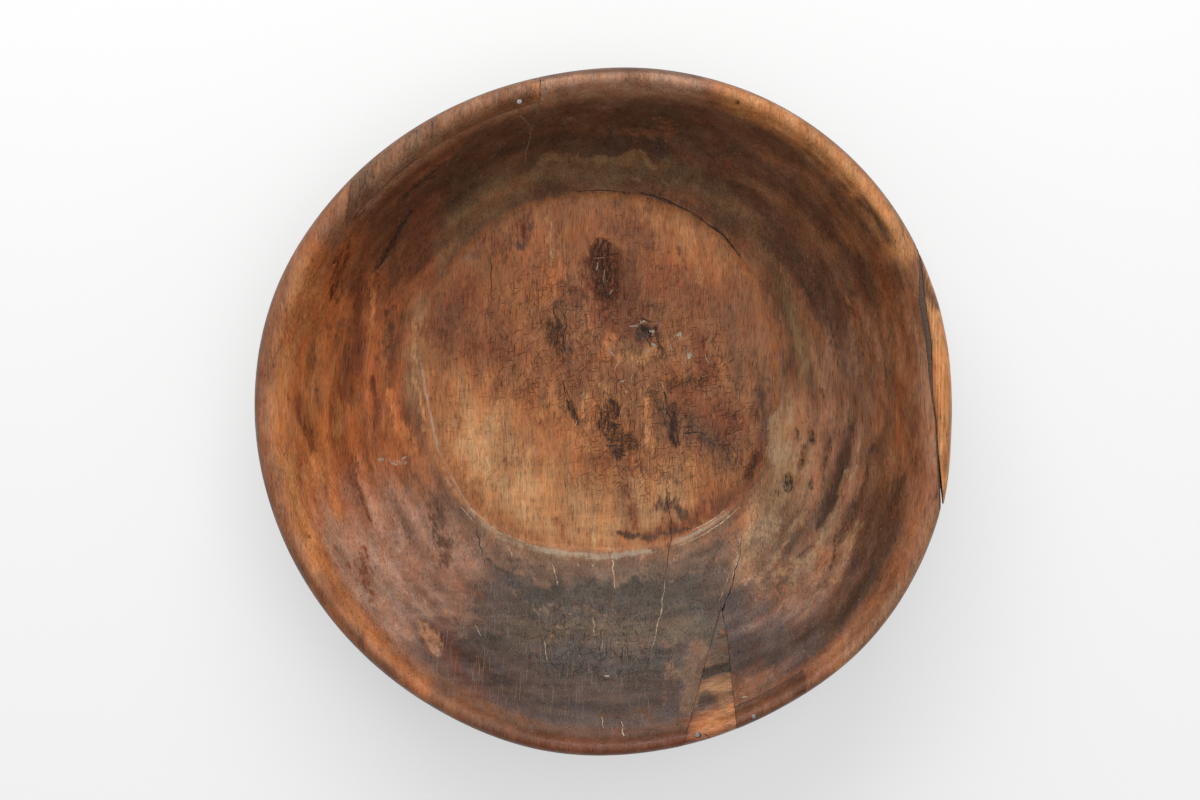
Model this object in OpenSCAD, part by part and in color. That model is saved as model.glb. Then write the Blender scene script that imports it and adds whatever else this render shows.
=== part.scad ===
// Old hand-carved round dough bowl with its repairs.
// Lengths are in millimetres. The foot rests on z = 0, the axis is +Z, and the grain runs along Y.

/* [Bowl] */
// Mean width across the rim
bowl_w = 520; // [480:5:600]
// Height of the rim above the foot
bowl_h = 122; // [105:1:150]
// Width of the flat foot
foot_w = 270; // [230:5:290]
// Mean width of the carved floor
floor_w = 286; // [250:2:300]
// Thickness of the wood at the middle of the floor
floor_t = 20; // [16:1:30]
// How much lower the floor is at its middle than at its edge
floor_dish = 2; // [1:0.5:4]
// How far the floor was carved off centre, towards +Y
floor_off = 27; // [0:1:32]
// Thickness of the wall half way up
wall_t = 20; // [16:1:28]

/* [Rim] */
// Mean width of the rim, from its outer edge to its inner edge
rim_w = 21; // [18:0.5:26]
// Height of the worn rounding of the outer edge
rim_round = 9; // [6:0.5:12]
// Fall of the rim from its crest to its inner edge
rim_fall = 6; // [3:0.5:9]
// How much lower the crest is at the two sides than at the two ends of the grain
rim_wave = 2; // [0.5:0.5:4]

/* [Repairs] */
// Gap round a piece that is let into the wood
joint_gap = 0.15; // [0.1:0.05:0.3]
// Widest part of the pitch that fills the split in the rim
pitch_w = 4.5; // [3:0.5:6]
// Depth of the two strips that renew the top of the rim
strip_d = 12; // [10:1:16]
// Width of the crack wedge at the rim
wedge_w = 38; // [30:1:46]
// Length of the crack wedge, from its point to the outer edge
wedge_l = 86; // [70:1:90]

/* [Nails] */
// Width of a nail's head
head_d = 4; // [3:0.1:5]
// Thickness of a nail's head
head_t = 1.2; // [0.8:0.1:2]
// Width of a nail's shank
shank_d = 2.2; // [1.6:0.1:2.6]
// Length of a nail under its head
nail_l = 30; // [24:1:36]
// How far a nail's head is driven below the surface
head_sink = 0.5; // [0.2:0.1:0.8]
// Gap between a nail and its hole, on the radius
nail_gap = 0.05; // [0.02:0.01:0.1]

/* [Hidden] */
$fn = 48;

// How far the cutters run past the wood
overrun = 30;
// Rings of points round the bowl stand at even steps of this angle
turn_step = 3.75;
turn_count = 360 / turn_step;

// The outline, the rim's width and the floor as shares of their mean sizes, at even angles from +X
outline_shares = [1.005, 1.017, 1.026, 1.023, 1.007, 0.989, 0.988, 0.998, 1.012,
                  1.008, 0.996, 0.986, 0.983, 0.991, 0.988, 0.993, 1.011, 1.012];
rim_shares = [1.2, 0.92, 0.9, 1.12, 1.18, 1.05, 0.82, 0.82];
floor_shares = [0.975, 1, 0.985, 1.01, 0.965, 1.035, 0.975, 1.04];
// The floor lies this share of its offset to the side, along X
floor_side_share = -0.15;
// The crest stands at this share of the rim's width from the outer edge
crest_share = 0.35;
// The bend of the inner wall, as shares of its run and of its rise
wall_run_share = 0.68;
wall_rise_share = 0.3;

// Steps along the profile: outer wall, outer edge, rim, inner wall, floor
outer_steps = 8;
edge_steps = 4;
rim_steps = 4;
inner_steps = 9;
floor_steps = 3;

// The split in the rim follows the grain; its places are shares of half the bowl's width, and
// beside each one is the pitch's width there, as a share of its widest part
split_shares = [[0.885, 0.56], [0.902, 0.458], [0.902, 0.338], [0.924, 0.213], [0.94, 0.067],
                [0.952, -0.017], [0.958, -0.143], [0.965, -0.231], [0.971, -0.29]];
pitch_shares = [0.2, 0.28, 1, 0.9, 0.28, 0.2, 0.3, 0.34, 0.26];

// The wedge runs out over the rim at this angle, and its outline is in shares of its width and length
wedge_a = 292;
wedge_tip_share = -0.14;
wedge_shares = [[0, 0], [0.105, -0.21], [0.28, -1.2], [-0.9, -1.2]];

// Each strip ends at these angles of the outline, with cuts that lean this far from the grain;
// the lower strip starts on the wedge's right side, this share of the way along it
lower_strip_start_share = 0.3;
lower_strip_a = 306;
lower_strip_lean = 6;
upper_strip_from = 100.7;
upper_strip_to = 136.5;
upper_strip_lean = -8;

// Each nail's angle, its distance in from the outer edge as a share of the rim's width,
// and how far its point leans inwards and round the bowl, in degrees
wedge_nail_a = 286.5;
wedge_nail_share = 0.39;
wedge_nail_lean = [15, -25];
lower_nail_a = 296.5;
lower_nail_share = 0.29;
lower_nail_lean = [15, 0];
upper_nail_a = 105;
upper_nail_share = 0.7;
upper_nail_lean = [5, 0];
// The nail's point, as a share of its length, and its tip, as a share of the shank's width
nail_point_share = 0.15;
nail_tip_share = 0.25;

// Smooth value at an angle, through shares that stand at even angles round the bowl
function at(list, i) = list[(i + len(list)) % len(list)];
function around(list, a) =
    let (u = ((a % 360) + 360) % 360 / 360 * len(list), i = floor(u), t = u - i,
         p = at(list, i - 1), q = at(list, i), r = at(list, i + 1), s = at(list, i + 2))
    q + t * (r - p + t * (2 * p - 5 * q + 4 * r - s + t * (3 * q - 3 * r + s - p))) / 2;
// Point of a curve that leaves p for q and ends at r
function bend(p, q, r, t) = (1 - t) * (1 - t) * p + 2 * t * (1 - t) * q + t * t * r;

function reach(a) = bowl_w / 2 * around(outline_shares, a);
function rim_width(a) = rim_w * around(rim_shares, a);
function floor_reach(a) = floor_w / 2 * around(floor_shares, a);
function crest_z(a) = bowl_h - rim_wave * (1 + cos(2 * a)) / 2;
function on_outline(a) = reach(a) * [cos(a), sin(a)];

// Height of the rim at an angle and a distance in from its outer edge
function rim_z(a, inset) =
    let (c = crest_share * rim_width(a), run = rim_width(a) - c)
    inset < c ? crest_z(a) - rim_round * (1 - sqrt(1 - pow((c - inset) / c, 2)))
              : crest_z(a) - rim_fall * pow((inset - c) / run, 2);

// Each place of the profile is [reach, height, share of the floor's offset]
function rim_edge(a) = [reach(a) - rim_width(a), crest_z(a) - rim_fall];
function floor_edge(a) = [floor_reach(a), floor_t + floor_dish];
function inner_wall(a, t) =
    let (low = floor_edge(a), high = rim_edge(a), run = high - low,
         turn = low + [wall_run_share * run[0], wall_rise_share * run[1]])
    bend(low, turn, high, t);
function outer_wall(a, t) =
    let (foot = [foot_w / 2, 0], top = [reach(a), crest_z(a) - rim_round],
         run = rim_edge(a) - floor_edge(a),
         middle = inner_wall(a, 1 / 2) + wall_t * [run[1], -run[0]] / norm(run))
    bend(foot, 2 * middle - (foot + top) / 2, top, t);
function outer_places(a) =
    [for (k = [0 : outer_steps - 1]) concat(outer_wall(a, k / outer_steps), 0)];
function edge_places(a) =
    let (c = crest_share * rim_width(a))
    [for (k = [0 : edge_steps])
        let (s = 90 * k / edge_steps)
        [reach(a) - c * (1 - cos(s)), crest_z(a) - rim_round * (1 - sin(s)), 0]];
function rim_places(a) =
    let (c = crest_share * rim_width(a), run = rim_width(a) - c)
    [for (k = [1 : rim_steps])
        let (s = k / rim_steps)
        [reach(a) - c - run * s, crest_z(a) - rim_fall * s * s, 0]];
function inner_places(a) =
    [for (k = [1 : inner_steps])
        let (t = 1 - k / inner_steps)
        concat(inner_wall(a, t), 1 - t)];
function floor_places(a) =
    [for (k = [1 : floor_steps - 1])
        let (s = 1 - k / floor_steps)
        [floor_reach(a) * s, floor_t + floor_dish * s * s, 1]];
function wall_places(a) = concat(outer_places(a), edge_places(a), rim_places(a), inner_places(a));

// A place of the profile, put into the bowl at its angle
function placed(p, a) =
    [p[0] * cos(a) + floor_off * floor_side_share * p[2], p[0] * sin(a) + floor_off * p[2], p[1]];
function quad(p, q, r, s) = [[p, q, r], [p, r, s]];

// The whole carved block, with nothing let in
module bowl_form() {
    rows = [for (i = [0 : turn_count - 1])
        let (a = i * turn_step)
        [for (p = concat(wall_places(a), floor_places(a))) placed(p, a)]];
    n = len(rows[0]);
    middle = turn_count * n;
    points = concat([for (row = rows) each row], [placed([0, floor_t, 1], 0)]);
    foot = [for (i = [0 : turn_count - 1]) i * n];
    skin = [for (i = [0 : turn_count - 1], k = [0 : n - 2])
        let (j = (i + 1) % turn_count)
        each quad(i * n + k, i * n + k + 1, j * n + k + 1, j * n + k)];
    disc = [for (i = [0 : turn_count - 1])
        [i * n + n - 1, middle, (i + 1) % turn_count * n + n - 1]];
    polyhedron(points, concat([foot], skin, disc), convexity = 6);
}

// The wall and rim alone, as far round as a plan reaches, on the same points as the whole block
module wall_form(plan) {
    angles = [for (p = plan) atan2(p[1], p[0])];
    first = floor(min(angles) / turn_step);
    last = ceil(max(angles) / turn_step);
    rows = [for (i = [first : last])
        let (a = i * turn_step)
        [for (p = wall_places(a)) placed(p, a)]];
    n = len(rows[0]);
    m = len(rows);
    half = floor(n / 2);
    end = (m - 1) * n;
    skin = [for (i = [0 : m - 2], k = [0 : n - 1])
        let (l = (k + 1) % n)
        each quad(i * n + k, i * n + l, (i + 1) * n + l, (i + 1) * n + k)];
    caps = [for (k = [0 : half - 2])
        let (l = n - 1 - k)
        each concat(quad(k, l, l - 1, k + 1), quad(end + k, end + k + 1, end + l - 1, end + l))];
    middle = n % 2 == 0 ? [] : [[half - 1, half + 1, half], [end + half - 1, end + half, end + half + 1]];
    polyhedron([for (row = rows) each row], concat(skin, caps, middle), convexity = 6);
}

// A cut that runs straight down through the wood
module down_cut(points, low = -overrun) {
    translate([0, 0, low])
        linear_extrude(bowl_h + overrun - low)
            polygon(points);
}

// A convex outline, given clockwise, drawn in by a gap on every side
function unit(v) = v / norm(v);
function right_of(v) = [v[1], -v[0]];
function drawn_in(p, gap) =
    [for (i = [0 : len(p) - 1])
        let (a = right_of(unit(p[i] - at(p, i - 1))), b = right_of(unit(at(p, i + 1) - p[i])))
        p[i] + gap * (a + b) / (1 + a * b)];

// Plans of the cuts, seen from above
split_line = [for (s = split_shares) bowl_w / 2 * s];
pitch_line = [for (i = [0 : len(split_line) - 1]) split_line[i] + [pitch_w * pitch_shares[i], 0]];
function outside(line) =
    concat(line, [[bowl_w / 2 + overrun, line[len(line) - 1][1]], [bowl_w / 2 + overrun, line[0][1]]]);
function backwards(line) = [for (i = [len(line) - 1 : -1 : 0]) line[i]];

wedge_tip = on_outline(wedge_a) + [wedge_w * wedge_tip_share, wedge_l];
wedge_plan = [for (s = wedge_shares) wedge_tip + [wedge_w * s[0], wedge_l * s[1]]];

// The two corners of a strip's end, out past the rim and in over the hollow
function end_cut(a, lean, side) =
    let (along = side * [sin(lean), cos(lean)])
    [on_outline(a) + overrun * along, on_outline(a) - 2 * overrun * along];
lower_end = end_cut(lower_strip_a, -lower_strip_lean, -1);
lower_start = wedge_plan[1] + lower_strip_start_share * (wedge_plan[2] - wedge_plan[1]);
lower_strip_plan = [lower_start, lower_end[1], lower_end[0], wedge_plan[2]];
upper_from = end_cut(upper_strip_from, 0, 1);
upper_to = end_cut(upper_strip_to, -upper_strip_lean, 1);
upper_strip_plan = [upper_to[0], upper_from[0], upper_from[1], upper_to[1]];
strip_seat = bowl_h - strip_d;

// One nail, or the hole for it, standing in the rim at its place
module at_nail(a, share, lean) {
    inset = share * rim_width(a);
    r = reach(a) - inset;
    translate([r * cos(a), r * sin(a), rim_z(a, inset)])
        rotate([lean[1], lean[0], a])
            translate([0, 0, -head_sink])
                children();
}

module nail() {
    point_l = nail_l * nail_point_share;
    translate([0, 0, -head_t])
        cylinder(h = head_t, d = head_d);
    translate([0, 0, point_l - nail_l - head_t])
        cylinder(h = nail_l - point_l, d = shank_d);
    translate([0, 0, -nail_l - head_t])
        cylinder(h = point_l, d1 = shank_d * nail_tip_share, d2 = shank_d);
}

module nail_hole() {
    translate([0, 0, -head_t])
        cylinder(h = head_t + overrun, d = head_d + 2 * nail_gap);
    translate([0, 0, -nail_l - head_t])
        cylinder(h = nail_l + head_t, d = shank_d + 2 * nail_gap);
}

module at_wedge_nail() {
    at_nail(wedge_nail_a, wedge_nail_share, wedge_nail_lean) children();
}

module at_lower_nail() {
    at_nail(lower_nail_a, lower_nail_share, lower_nail_lean) children();
}

module at_upper_nail() {
    at_nail(upper_nail_a, upper_nail_share, upper_nail_lean) children();
}

module bowl_body() {
    color("sienna")
        difference() {
            bowl_form();
            down_cut(outside(split_line));
            down_cut(wedge_plan);
            down_cut(lower_strip_plan, strip_seat);
            down_cut(upper_strip_plan, strip_seat);
            at_wedge_nail() nail_hole();
            at_lower_nail() nail_hole();
            at_upper_nail() nail_hole();
        }
}

module rim_segment() {
    color("peru")
        intersection() {
            wall_form(split_line);
            down_cut(outside(pitch_line));
        }
}

module pitch_seam() {
    color("dimgray")
        intersection() {
            wall_form(split_line);
            down_cut(concat(split_line, backwards(pitch_line)));
        }
}

module crack_wedge() {
    color("chocolate")
        difference() {
            intersection() {
                wall_form(wedge_plan);
                down_cut(drawn_in(wedge_plan, joint_gap));
            }
            at_wedge_nail() nail_hole();
        }
}

module lower_rim_strip() {
    color("saddlebrown")
        difference() {
            intersection() {
                wall_form(lower_strip_plan);
                down_cut(drawn_in(lower_strip_plan, joint_gap), strip_seat);
            }
            at_lower_nail() nail_hole();
        }
}

module upper_rim_strip() {
    color("rosybrown")
        difference() {
            intersection() {
                wall_form(upper_strip_plan);
                down_cut(drawn_in(upper_strip_plan, joint_gap), strip_seat);
            }
            at_upper_nail() nail_hole();
        }
}

module wedge_nail() {
    color("slategray") at_wedge_nail() nail();
}

module lower_strip_nail() {
    color("slategray") at_lower_nail() nail();
}

module upper_strip_nail() {
    color("slategray") at_upper_nail() nail();
}

bowl_body();
rim_segment();
pitch_seam();
crack_wedge();
lower_rim_strip();
upper_rim_strip();
wedge_nail();
lower_strip_nail();
upper_strip_nail();
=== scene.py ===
import math

import bpy
import numpy as np
from mathutils import Euler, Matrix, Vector
from mathutils.bvhtree import BVHTree


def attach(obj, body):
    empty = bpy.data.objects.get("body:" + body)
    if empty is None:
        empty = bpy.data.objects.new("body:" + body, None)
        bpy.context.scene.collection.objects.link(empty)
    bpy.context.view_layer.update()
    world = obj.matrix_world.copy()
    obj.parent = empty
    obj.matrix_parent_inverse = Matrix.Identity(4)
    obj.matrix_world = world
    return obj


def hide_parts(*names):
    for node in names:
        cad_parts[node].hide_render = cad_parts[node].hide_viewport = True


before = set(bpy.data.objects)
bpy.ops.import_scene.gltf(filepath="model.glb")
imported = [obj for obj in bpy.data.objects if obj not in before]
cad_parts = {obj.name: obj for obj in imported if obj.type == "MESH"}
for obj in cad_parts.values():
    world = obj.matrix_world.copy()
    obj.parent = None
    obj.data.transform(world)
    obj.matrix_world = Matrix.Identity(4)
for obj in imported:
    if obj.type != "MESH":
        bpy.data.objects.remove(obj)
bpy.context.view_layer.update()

MM = 0.001

# The bowl's sizes, in millimetres
BOWL_W, BOWL_H, FOOT_W, FLOOR_W = 520, 122, 270, 286
FLOOR_T, FLOOR_DISH, FLOOR_OFF, WALL_T = 20, 2, 27, 20
RIM_W, RIM_ROUND, RIM_FALL, RIM_WAVE = 21, 9, 6, 2
PITCH_W, STRIP_D, WEDGE_W, WEDGE_L = 4.5, 12, 38, 86
HEAD_D, HEAD_T, SHANK_D, NAIL_L, HEAD_SINK = 4, 1.2, 2.2, 30, 0.5
OVERRUN = 30
JOINT_GAP = 0.06

# Shares of those sizes, at even steps round the bowl from +X, and along the split and the wedge
OUTLINE_SHARES = (1.005, 1.017, 1.026, 1.023, 1.007, 0.989, 0.988, 0.998, 1.012,
                  1.008, 0.996, 0.986, 0.983, 0.991, 0.988, 0.993, 1.011, 1.012)
RIM_SHARES = (1.2, 0.92, 0.9, 1.12, 1.18, 1.05, 0.82, 0.82)
FLOOR_SHARES = (0.975, 1, 0.985, 1.01, 0.965, 1.035, 0.975, 1.04)
FLOOR_SIDE_SHARE, CREST_SHARE, WALL_RUN_SHARE, WALL_RISE_SHARE = -0.15, 0.35, 0.68, 0.3
SPLIT_SHARES = ((0.885, 0.56), (0.902, 0.458), (0.902, 0.338), (0.924, 0.213), (0.94, 0.067),
                (0.952, -0.017), (0.958, -0.143), (0.965, -0.231), (0.971, -0.29))
PITCH_SHARES = (0.2, 0.28, 1, 0.9, 0.28, 0.2, 0.3, 0.34, 0.26)
WEDGE_ANGLE, WEDGE_TIP_SHARE = 292, -0.14
WEDGE_SHARES = ((0, 0), (0.105, -0.21), (0.28, -1.2), (-0.9, -1.2))
LOWER_START_SHARE, LOWER_ANGLE, LOWER_LEAN = 0.3, 306, 6
UPPER_FROM, UPPER_TO, UPPER_LEAN = 100.7, 136.5, -8
# Each nail: its angle, its share of the rim's width, and how it leans inwards and round, in degrees
NAILS = {"wedge_nail": (286.5, 0.39, 15, -25), "lower_strip_nail": (296.5, 0.29, 15, 0),
         "upper_strip_nail": (105, 0.7, 5, 0)}

# Points round the bowl, and steps along each part of its section
AROUND = 500
FOOT, OUTER, EDGE, RIM, INNER, FLOOR = range(6)
STEPS = {FOOT: 3, OUTER: 20, EDGE: 5, RIM: 9, INNER: 60, FLOOR: 84}

# The photograph's view: its size in pixels, the camera's tilt, distance, lens and far limit, and where the
# rim's middle is seen
IMAGE_W, IMAGE_H = 1200, 800
VIEW_TILT, VIEW_DISTANCE, VIEW_LENS, SENSOR_W, VIEW_FAR = math.radians(4), 1990, 80, 36, 20
RIM_MIDDLE_X, RIM_MIDDLE_Y = 604, 417
FOCAL_PX = IMAGE_W * VIEW_LENS / SENSOR_W


def in_photo(p):
    """Pixel of the photograph where each place, in millimetres, is seen."""
    s, c = math.sin(VIEW_TILT), math.cos(VIEW_TILT)
    z = p[:, 2] - BOWL_H
    depth = VIEW_DISTANCE - (p[:, 1] * s + z * c)
    return RIM_MIDDLE_X + FOCAL_PX * p[:, 0] / depth, RIM_MIDDLE_Y - FOCAL_PX * (p[:, 1] * c - z * s) / depth


def view_frame():
    """The view's place in millimetres, and its directions across, up and back."""
    s, c = math.sin(VIEW_TILT), math.cos(VIEW_TILT)
    across, up, back = Vector((1, 0, 0)), Vector((0, c, -s)), Vector((0, s, c))
    return Vector((0, 0, BOWL_H)) + VIEW_DISTANCE * back, across, up, back


def sight_line(px, py):
    """Start and direction, in millimetres, of the line of sight through a pixel."""
    start, across, up, back = view_frame()
    way = (px - RIM_MIDDLE_X) / FOCAL_PX * across - (py - RIM_MIDDLE_Y) / FOCAL_PX * up - back
    return start, way.normalized()


def set_camera():
    bpy.ops.object.camera_add(location=view_frame()[0] * MM, rotation=(-VIEW_TILT, 0, 0))
    camera = bpy.context.object
    camera.data.lens = VIEW_LENS
    camera.data.sensor_width = SENSOR_W
    camera.data.shift_x = (IMAGE_W / 2 - RIM_MIDDLE_X) / IMAGE_W
    camera.data.shift_y = (RIM_MIDDLE_Y - IMAGE_H / 2) / IMAGE_W
    camera.data.clip_end = VIEW_FAR
    bpy.context.scene.camera = camera


# Numbers and noise
def smooth(low, high, v):
    """A soft step, 0 at low and 1 at high."""
    t = np.clip((v - low) / (high - low), 0, 1)
    return t * t * (3 - 2 * t)


def around(shares, a):
    """A smooth curve through shares that stand at even steps round the bowl, read at an angle in degrees."""
    s = np.asarray(shares, float)
    n = len(s)
    u = (np.asarray(a, float) % 360) / 360 * n
    i = np.floor(u).astype(int)
    t = u - i
    p, q, r, w = s[(i - 1) % n], s[i % n], s[(i + 1) % n], s[(i + 2) % n]
    return q + t * (r - p + t * (2 * p - 5 * q + 4 * r - w + t * (3 * q - 3 * r + w - p))) / 2


def turn_of(x, y):
    return np.degrees(np.arctan2(y, x))


# Large odd numbers that stir a place into chance, and the highest value that is kept
STIR_X, STIR_Y, STIR_Z, STIR_SEED, STIR_AGAIN = 374761393, 668265263, 2147483647, 1274126177, 2246822519
STIR_TOP = 0xFFFFFFFF


def dice(ix, iy, iz, seed):
    """A steady chance value from 0 to 1 for each whole place."""
    h = (ix * STIR_X + iy * STIR_Y + iz * STIR_Z + seed * STIR_SEED) & STIR_TOP
    h = ((h ^ (h >> 13)) * STIR_SEED) & STIR_TOP
    h = ((h ^ (h >> 16)) * STIR_AGAIN) & STIR_TOP
    return (h ^ (h >> 15)) / STIR_TOP


def soft_noise(p, seed):
    """Smooth noise from -1 to 1 over places whose unit is one lump."""
    i = np.floor(p).astype(np.int64)
    t = p - i
    t = t * t * (3 - 2 * t)
    total = 0
    for corner in range(8):
        step = np.array([corner & 1, corner >> 1 & 1, corner >> 2 & 1])
        weight = np.prod(np.where(step, t, 1 - t), axis=1)
        j = i + step
        total = total + weight * dice(j[:, 0], j[:, 1], j[:, 2], seed)
    return 2 * total - 1


OCTAVE_SHIFT = 17.3


def lumps(p, size, seed, octaves=3):
    """Noise with finer and finer lumps; size is the first lump's, in millimetres along x, y and z."""
    size = np.asarray(size, float)
    total, share, whole = 0, 1, 0
    for k in range(octaves):
        total = total + share * soft_noise(p / size * 2 ** k + OCTAVE_SHIFT * k, seed + k)
        whole += share
        share /= 2
    return total / whole


# A cut's middle lies at least this far into its cell, within this spread; squared reach of a cut, in cells
SCOOP_INSET, SCOOP_SPREAD, SCOOP_REACH, SCOOP_FAR = 0.15, 0.7, 0.7, 9.0


def scoops(u, v, count, seed):
    """Overlapping tool cuts: 0 in the middle of a cut, 1 on the ridges. u runs round and closes at count."""
    best = np.full(u.shape, SCOOP_FAR)
    i, j = np.floor(u).astype(np.int64), np.floor(v).astype(np.int64)
    for du in (-1, 0, 1):
        for dv in (-1, 0, 1):
            ci, cj = i + du, j + dv
            wrapped = ci % count
            cu = ci + SCOOP_INSET + SCOOP_SPREAD * dice(wrapped, cj, wrapped * 0, seed)
            cv = cj + SCOOP_INSET + SCOOP_SPREAD * dice(wrapped, cj, wrapped * 0, seed + 1)
            best = np.minimum(best, (u - cu) ** 2 + (v - cv) ** 2)
    return np.minimum(best / SCOOP_REACH, 1)


# Meshes
def vectors_in(items, key):
    values = np.empty(len(items) * 3, np.float32)
    items.foreach_get(key, values)
    return values.reshape(len(items), 3).astype(float)


def points_of(obj):
    """Places of a piece's points, in millimetres."""
    return vectors_in(obj.data.vertices, "co") / MM


def put_points(obj, p):
    obj.data.vertices.foreach_set("co", (p * MM).astype(np.float32).ravel())
    obj.data.update()


def normals_of(obj):
    return vectors_in(obj.data.vertex_normals, "vector")


def values_of(obj, name):
    v = np.zeros(len(obj.data.vertices), np.float32)
    if name in obj.data.attributes:
        obj.data.attributes[name].data.foreach_get("value", v)
    return v.astype(float)


def attribute(obj, name, kind):
    return obj.data.attributes.get(name) or obj.data.attributes.new(name, kind, "POINT")


def keep_values(obj, name, v):
    attribute(obj, name, "FLOAT").data.foreach_set("value", np.asarray(v, np.float32))


def keep_colours(obj, name, rgb, alpha=1):
    rgba = np.ones((len(rgb), 4), np.float32)
    rgba[:, :3] = rgb
    rgba[:, 3] = alpha
    attribute(obj, name, "FLOAT_COLOR").data.foreach_set("color", rgba.ravel())


def only(*objects):
    """Selects these objects and no others, and works on the first."""
    bpy.ops.object.select_all(action="DESELECT")
    for obj in objects:
        obj.select_set(True)
    if objects:
        bpy.context.view_layer.objects.active = objects[0]


def start_edit(action="SELECT"):
    bpy.ops.object.mode_set(mode="EDIT")
    bpy.ops.mesh.select_all(action=action)


def end_edit(faces_out=True):
    if faces_out:
        bpy.ops.mesh.select_all(action="SELECT")
        bpy.ops.mesh.normals_make_consistent(inside=False)
    bpy.ops.object.mode_set(mode="OBJECT")


def named(obj, name):
    obj.name = obj.data.name = name
    return obj


def copied(obj, name):
    only(obj)
    bpy.ops.object.duplicate(linked=False)
    return named(bpy.context.object, name)


def coated(obj, material):
    obj.data.materials.clear()
    obj.data.materials.append(material)
    return obj


def finish_modifier(obj, kind, **values):
    only(obj)
    m = obj.modifiers.new(kind.title(), kind)
    for key, value in values.items():
        setattr(m, key, value)
    bpy.ops.object.modifier_apply(modifier=m.name)


SEAM_GAP = 0.002


def close_seams(obj):
    only(obj)
    start_edit()
    bpy.ops.mesh.remove_doubles(threshold=SEAM_GAP * MM)
    end_edit()


def drop_crumbs(obj):
    """Takes away the small loose bits that a cut leaves, and keeps the main body."""
    only(obj)
    ends = np.empty(len(obj.data.edges) * 2, np.int32)
    obj.data.edges.foreach_get("vertices", ends)
    ends = ends.reshape(-1, 2)
    body, before = np.arange(len(obj.data.vertices)), None
    while before is None or (body != before).any():
        before = body.copy()
        lowest = body[ends].min(axis=1)
        np.minimum.at(body, ends[:, 0], lowest)
        np.minimum.at(body, ends[:, 1], lowest)
        body = body[body]
    start_edit("DESELECT")
    bpy.ops.mesh.select_mode(type="VERT")
    end_edit(faces_out=False)
    obj.data.vertices.foreach_set("select", body != np.bincount(body).argmax())
    bpy.ops.object.mode_set(mode="EDIT")
    bpy.ops.mesh.delete(type="VERT")
    end_edit(faces_out=False)


def shade(obj, degrees):
    only(obj)
    bpy.ops.object.shade_smooth_by_angle(angle=math.radians(degrees))
    return obj


# The carved form
def reach(a):
    return BOWL_W / 2 * around(OUTLINE_SHARES, a)


def rim_width(a):
    return RIM_W * around(RIM_SHARES, a)


def floor_reach(a):
    return FLOOR_W / 2 * around(FLOOR_SHARES, a)


def crest_z(a):
    return BOWL_H - RIM_WAVE * (1 + np.cos(2 * np.radians(a))) / 2


def bend(p, q, r, t):
    """A curve from p to r that is drawn towards q."""
    return (1 - t) ** 2 * p + 2 * t * (1 - t) * q + t ** 2 * r


def inner_wall(a, t):
    low_r, low_z = floor_reach(a), FLOOR_T + FLOOR_DISH
    high_r, high_z = reach(a) - rim_width(a), crest_z(a) - RIM_FALL
    turn_r = low_r + WALL_RUN_SHARE * (high_r - low_r)
    turn_z = low_z + WALL_RISE_SHARE * (high_z - low_z)
    return bend(low_r, turn_r, high_r, t), bend(low_z, turn_z, high_z, t)


def outer_wall(a, t):
    foot_r, top_r, top_z = FOOT_W / 2, reach(a), crest_z(a) - RIM_ROUND
    run_r = reach(a) - rim_width(a) - floor_reach(a)
    run_z = crest_z(a) - RIM_FALL - FLOOR_T - FLOOR_DISH
    length = np.hypot(run_r, run_z)
    middle_r, middle_z = inner_wall(a, 0.5)
    middle_r, middle_z = middle_r + WALL_T * run_z / length, middle_z - WALL_T * run_r / length
    return (bend(foot_r, 2 * middle_r - (foot_r + top_r) / 2, top_r, t),
            bend(0, 2 * middle_z - top_z / 2, top_z, t))


def section_place(section, t, a):
    """Reach, height and share of the floor's offset at a station of the section."""
    c = CREST_SHARE * rim_width(a)
    if section == FOOT:
        return FOOT_W / 2 * t + 0 * a, 0 * a, 0 * a
    if section == OUTER:
        return (*outer_wall(a, t), 0 * a)
    if section == EDGE:
        s = math.pi / 2 * t
        return reach(a) - c * (1 - math.cos(s)), crest_z(a) - RIM_ROUND * (1 - math.sin(s)), 0 * a
    if section == RIM:
        return reach(a) - c - (rim_width(a) - c) * t, crest_z(a) - RIM_FALL * t * t, 0 * a
    if section == INNER:
        return (*inner_wall(a, 1 - t), t + 0 * a)
    s = 1 - t
    return floor_reach(a) * s, FLOOR_T + FLOOR_DISH * s * s + 0 * a, 1 + 0 * a


def stations():
    """Every station of the section, from the foot's middle round to the floor's middle."""
    places = [(FOOT, 0.0)]
    for section, steps in STEPS.items():
        places += [(section, k / steps) for k in range(1, steps + 1)]
    return places


def section_line(places):
    """The bowl's section at +X, drawn as one line, and its reaches and heights."""
    line = [Vector((float(r), 0, float(z))) for r, z, _ in
            (section_place(s, t, np.float64(0)) for s, t in places)]
    only()
    bpy.ops.mesh.primitive_plane_add(size=MM, location=(0, 0, 0))
    section = bpy.context.object
    start_edit()
    bpy.ops.mesh.merge(type="CENTER")
    for here, there in zip(line, line[1:]):
        bpy.ops.mesh.extrude_vertices_move(TRANSFORM_OT_translate={"value": (there - here) * MM})
    end_edit(faces_out=False)
    return section, np.array([(p.x, p.z) for p in line])


# Strength of the gouge marks on the inner wall, every 45 degrees from +X
GOUGE_SHARES = (1.0, 0.55, 0.35, 0.4, 0.55, 0.35, 0.3, 1.0)
# Rows of cuts on a wall: cuts round, rows up, lean, wander of the rows, chance seed, and depth and swell in
# millimetres
GOUGE_ROWS = (29, 12, 0.22, 0.4, 11, 0.9, 0.35)
ADZE_ROWS = (40, 8, 0.18, 0.3, 31, 1.3, 0.4)
ROW_SHAKE = 0.3
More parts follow.
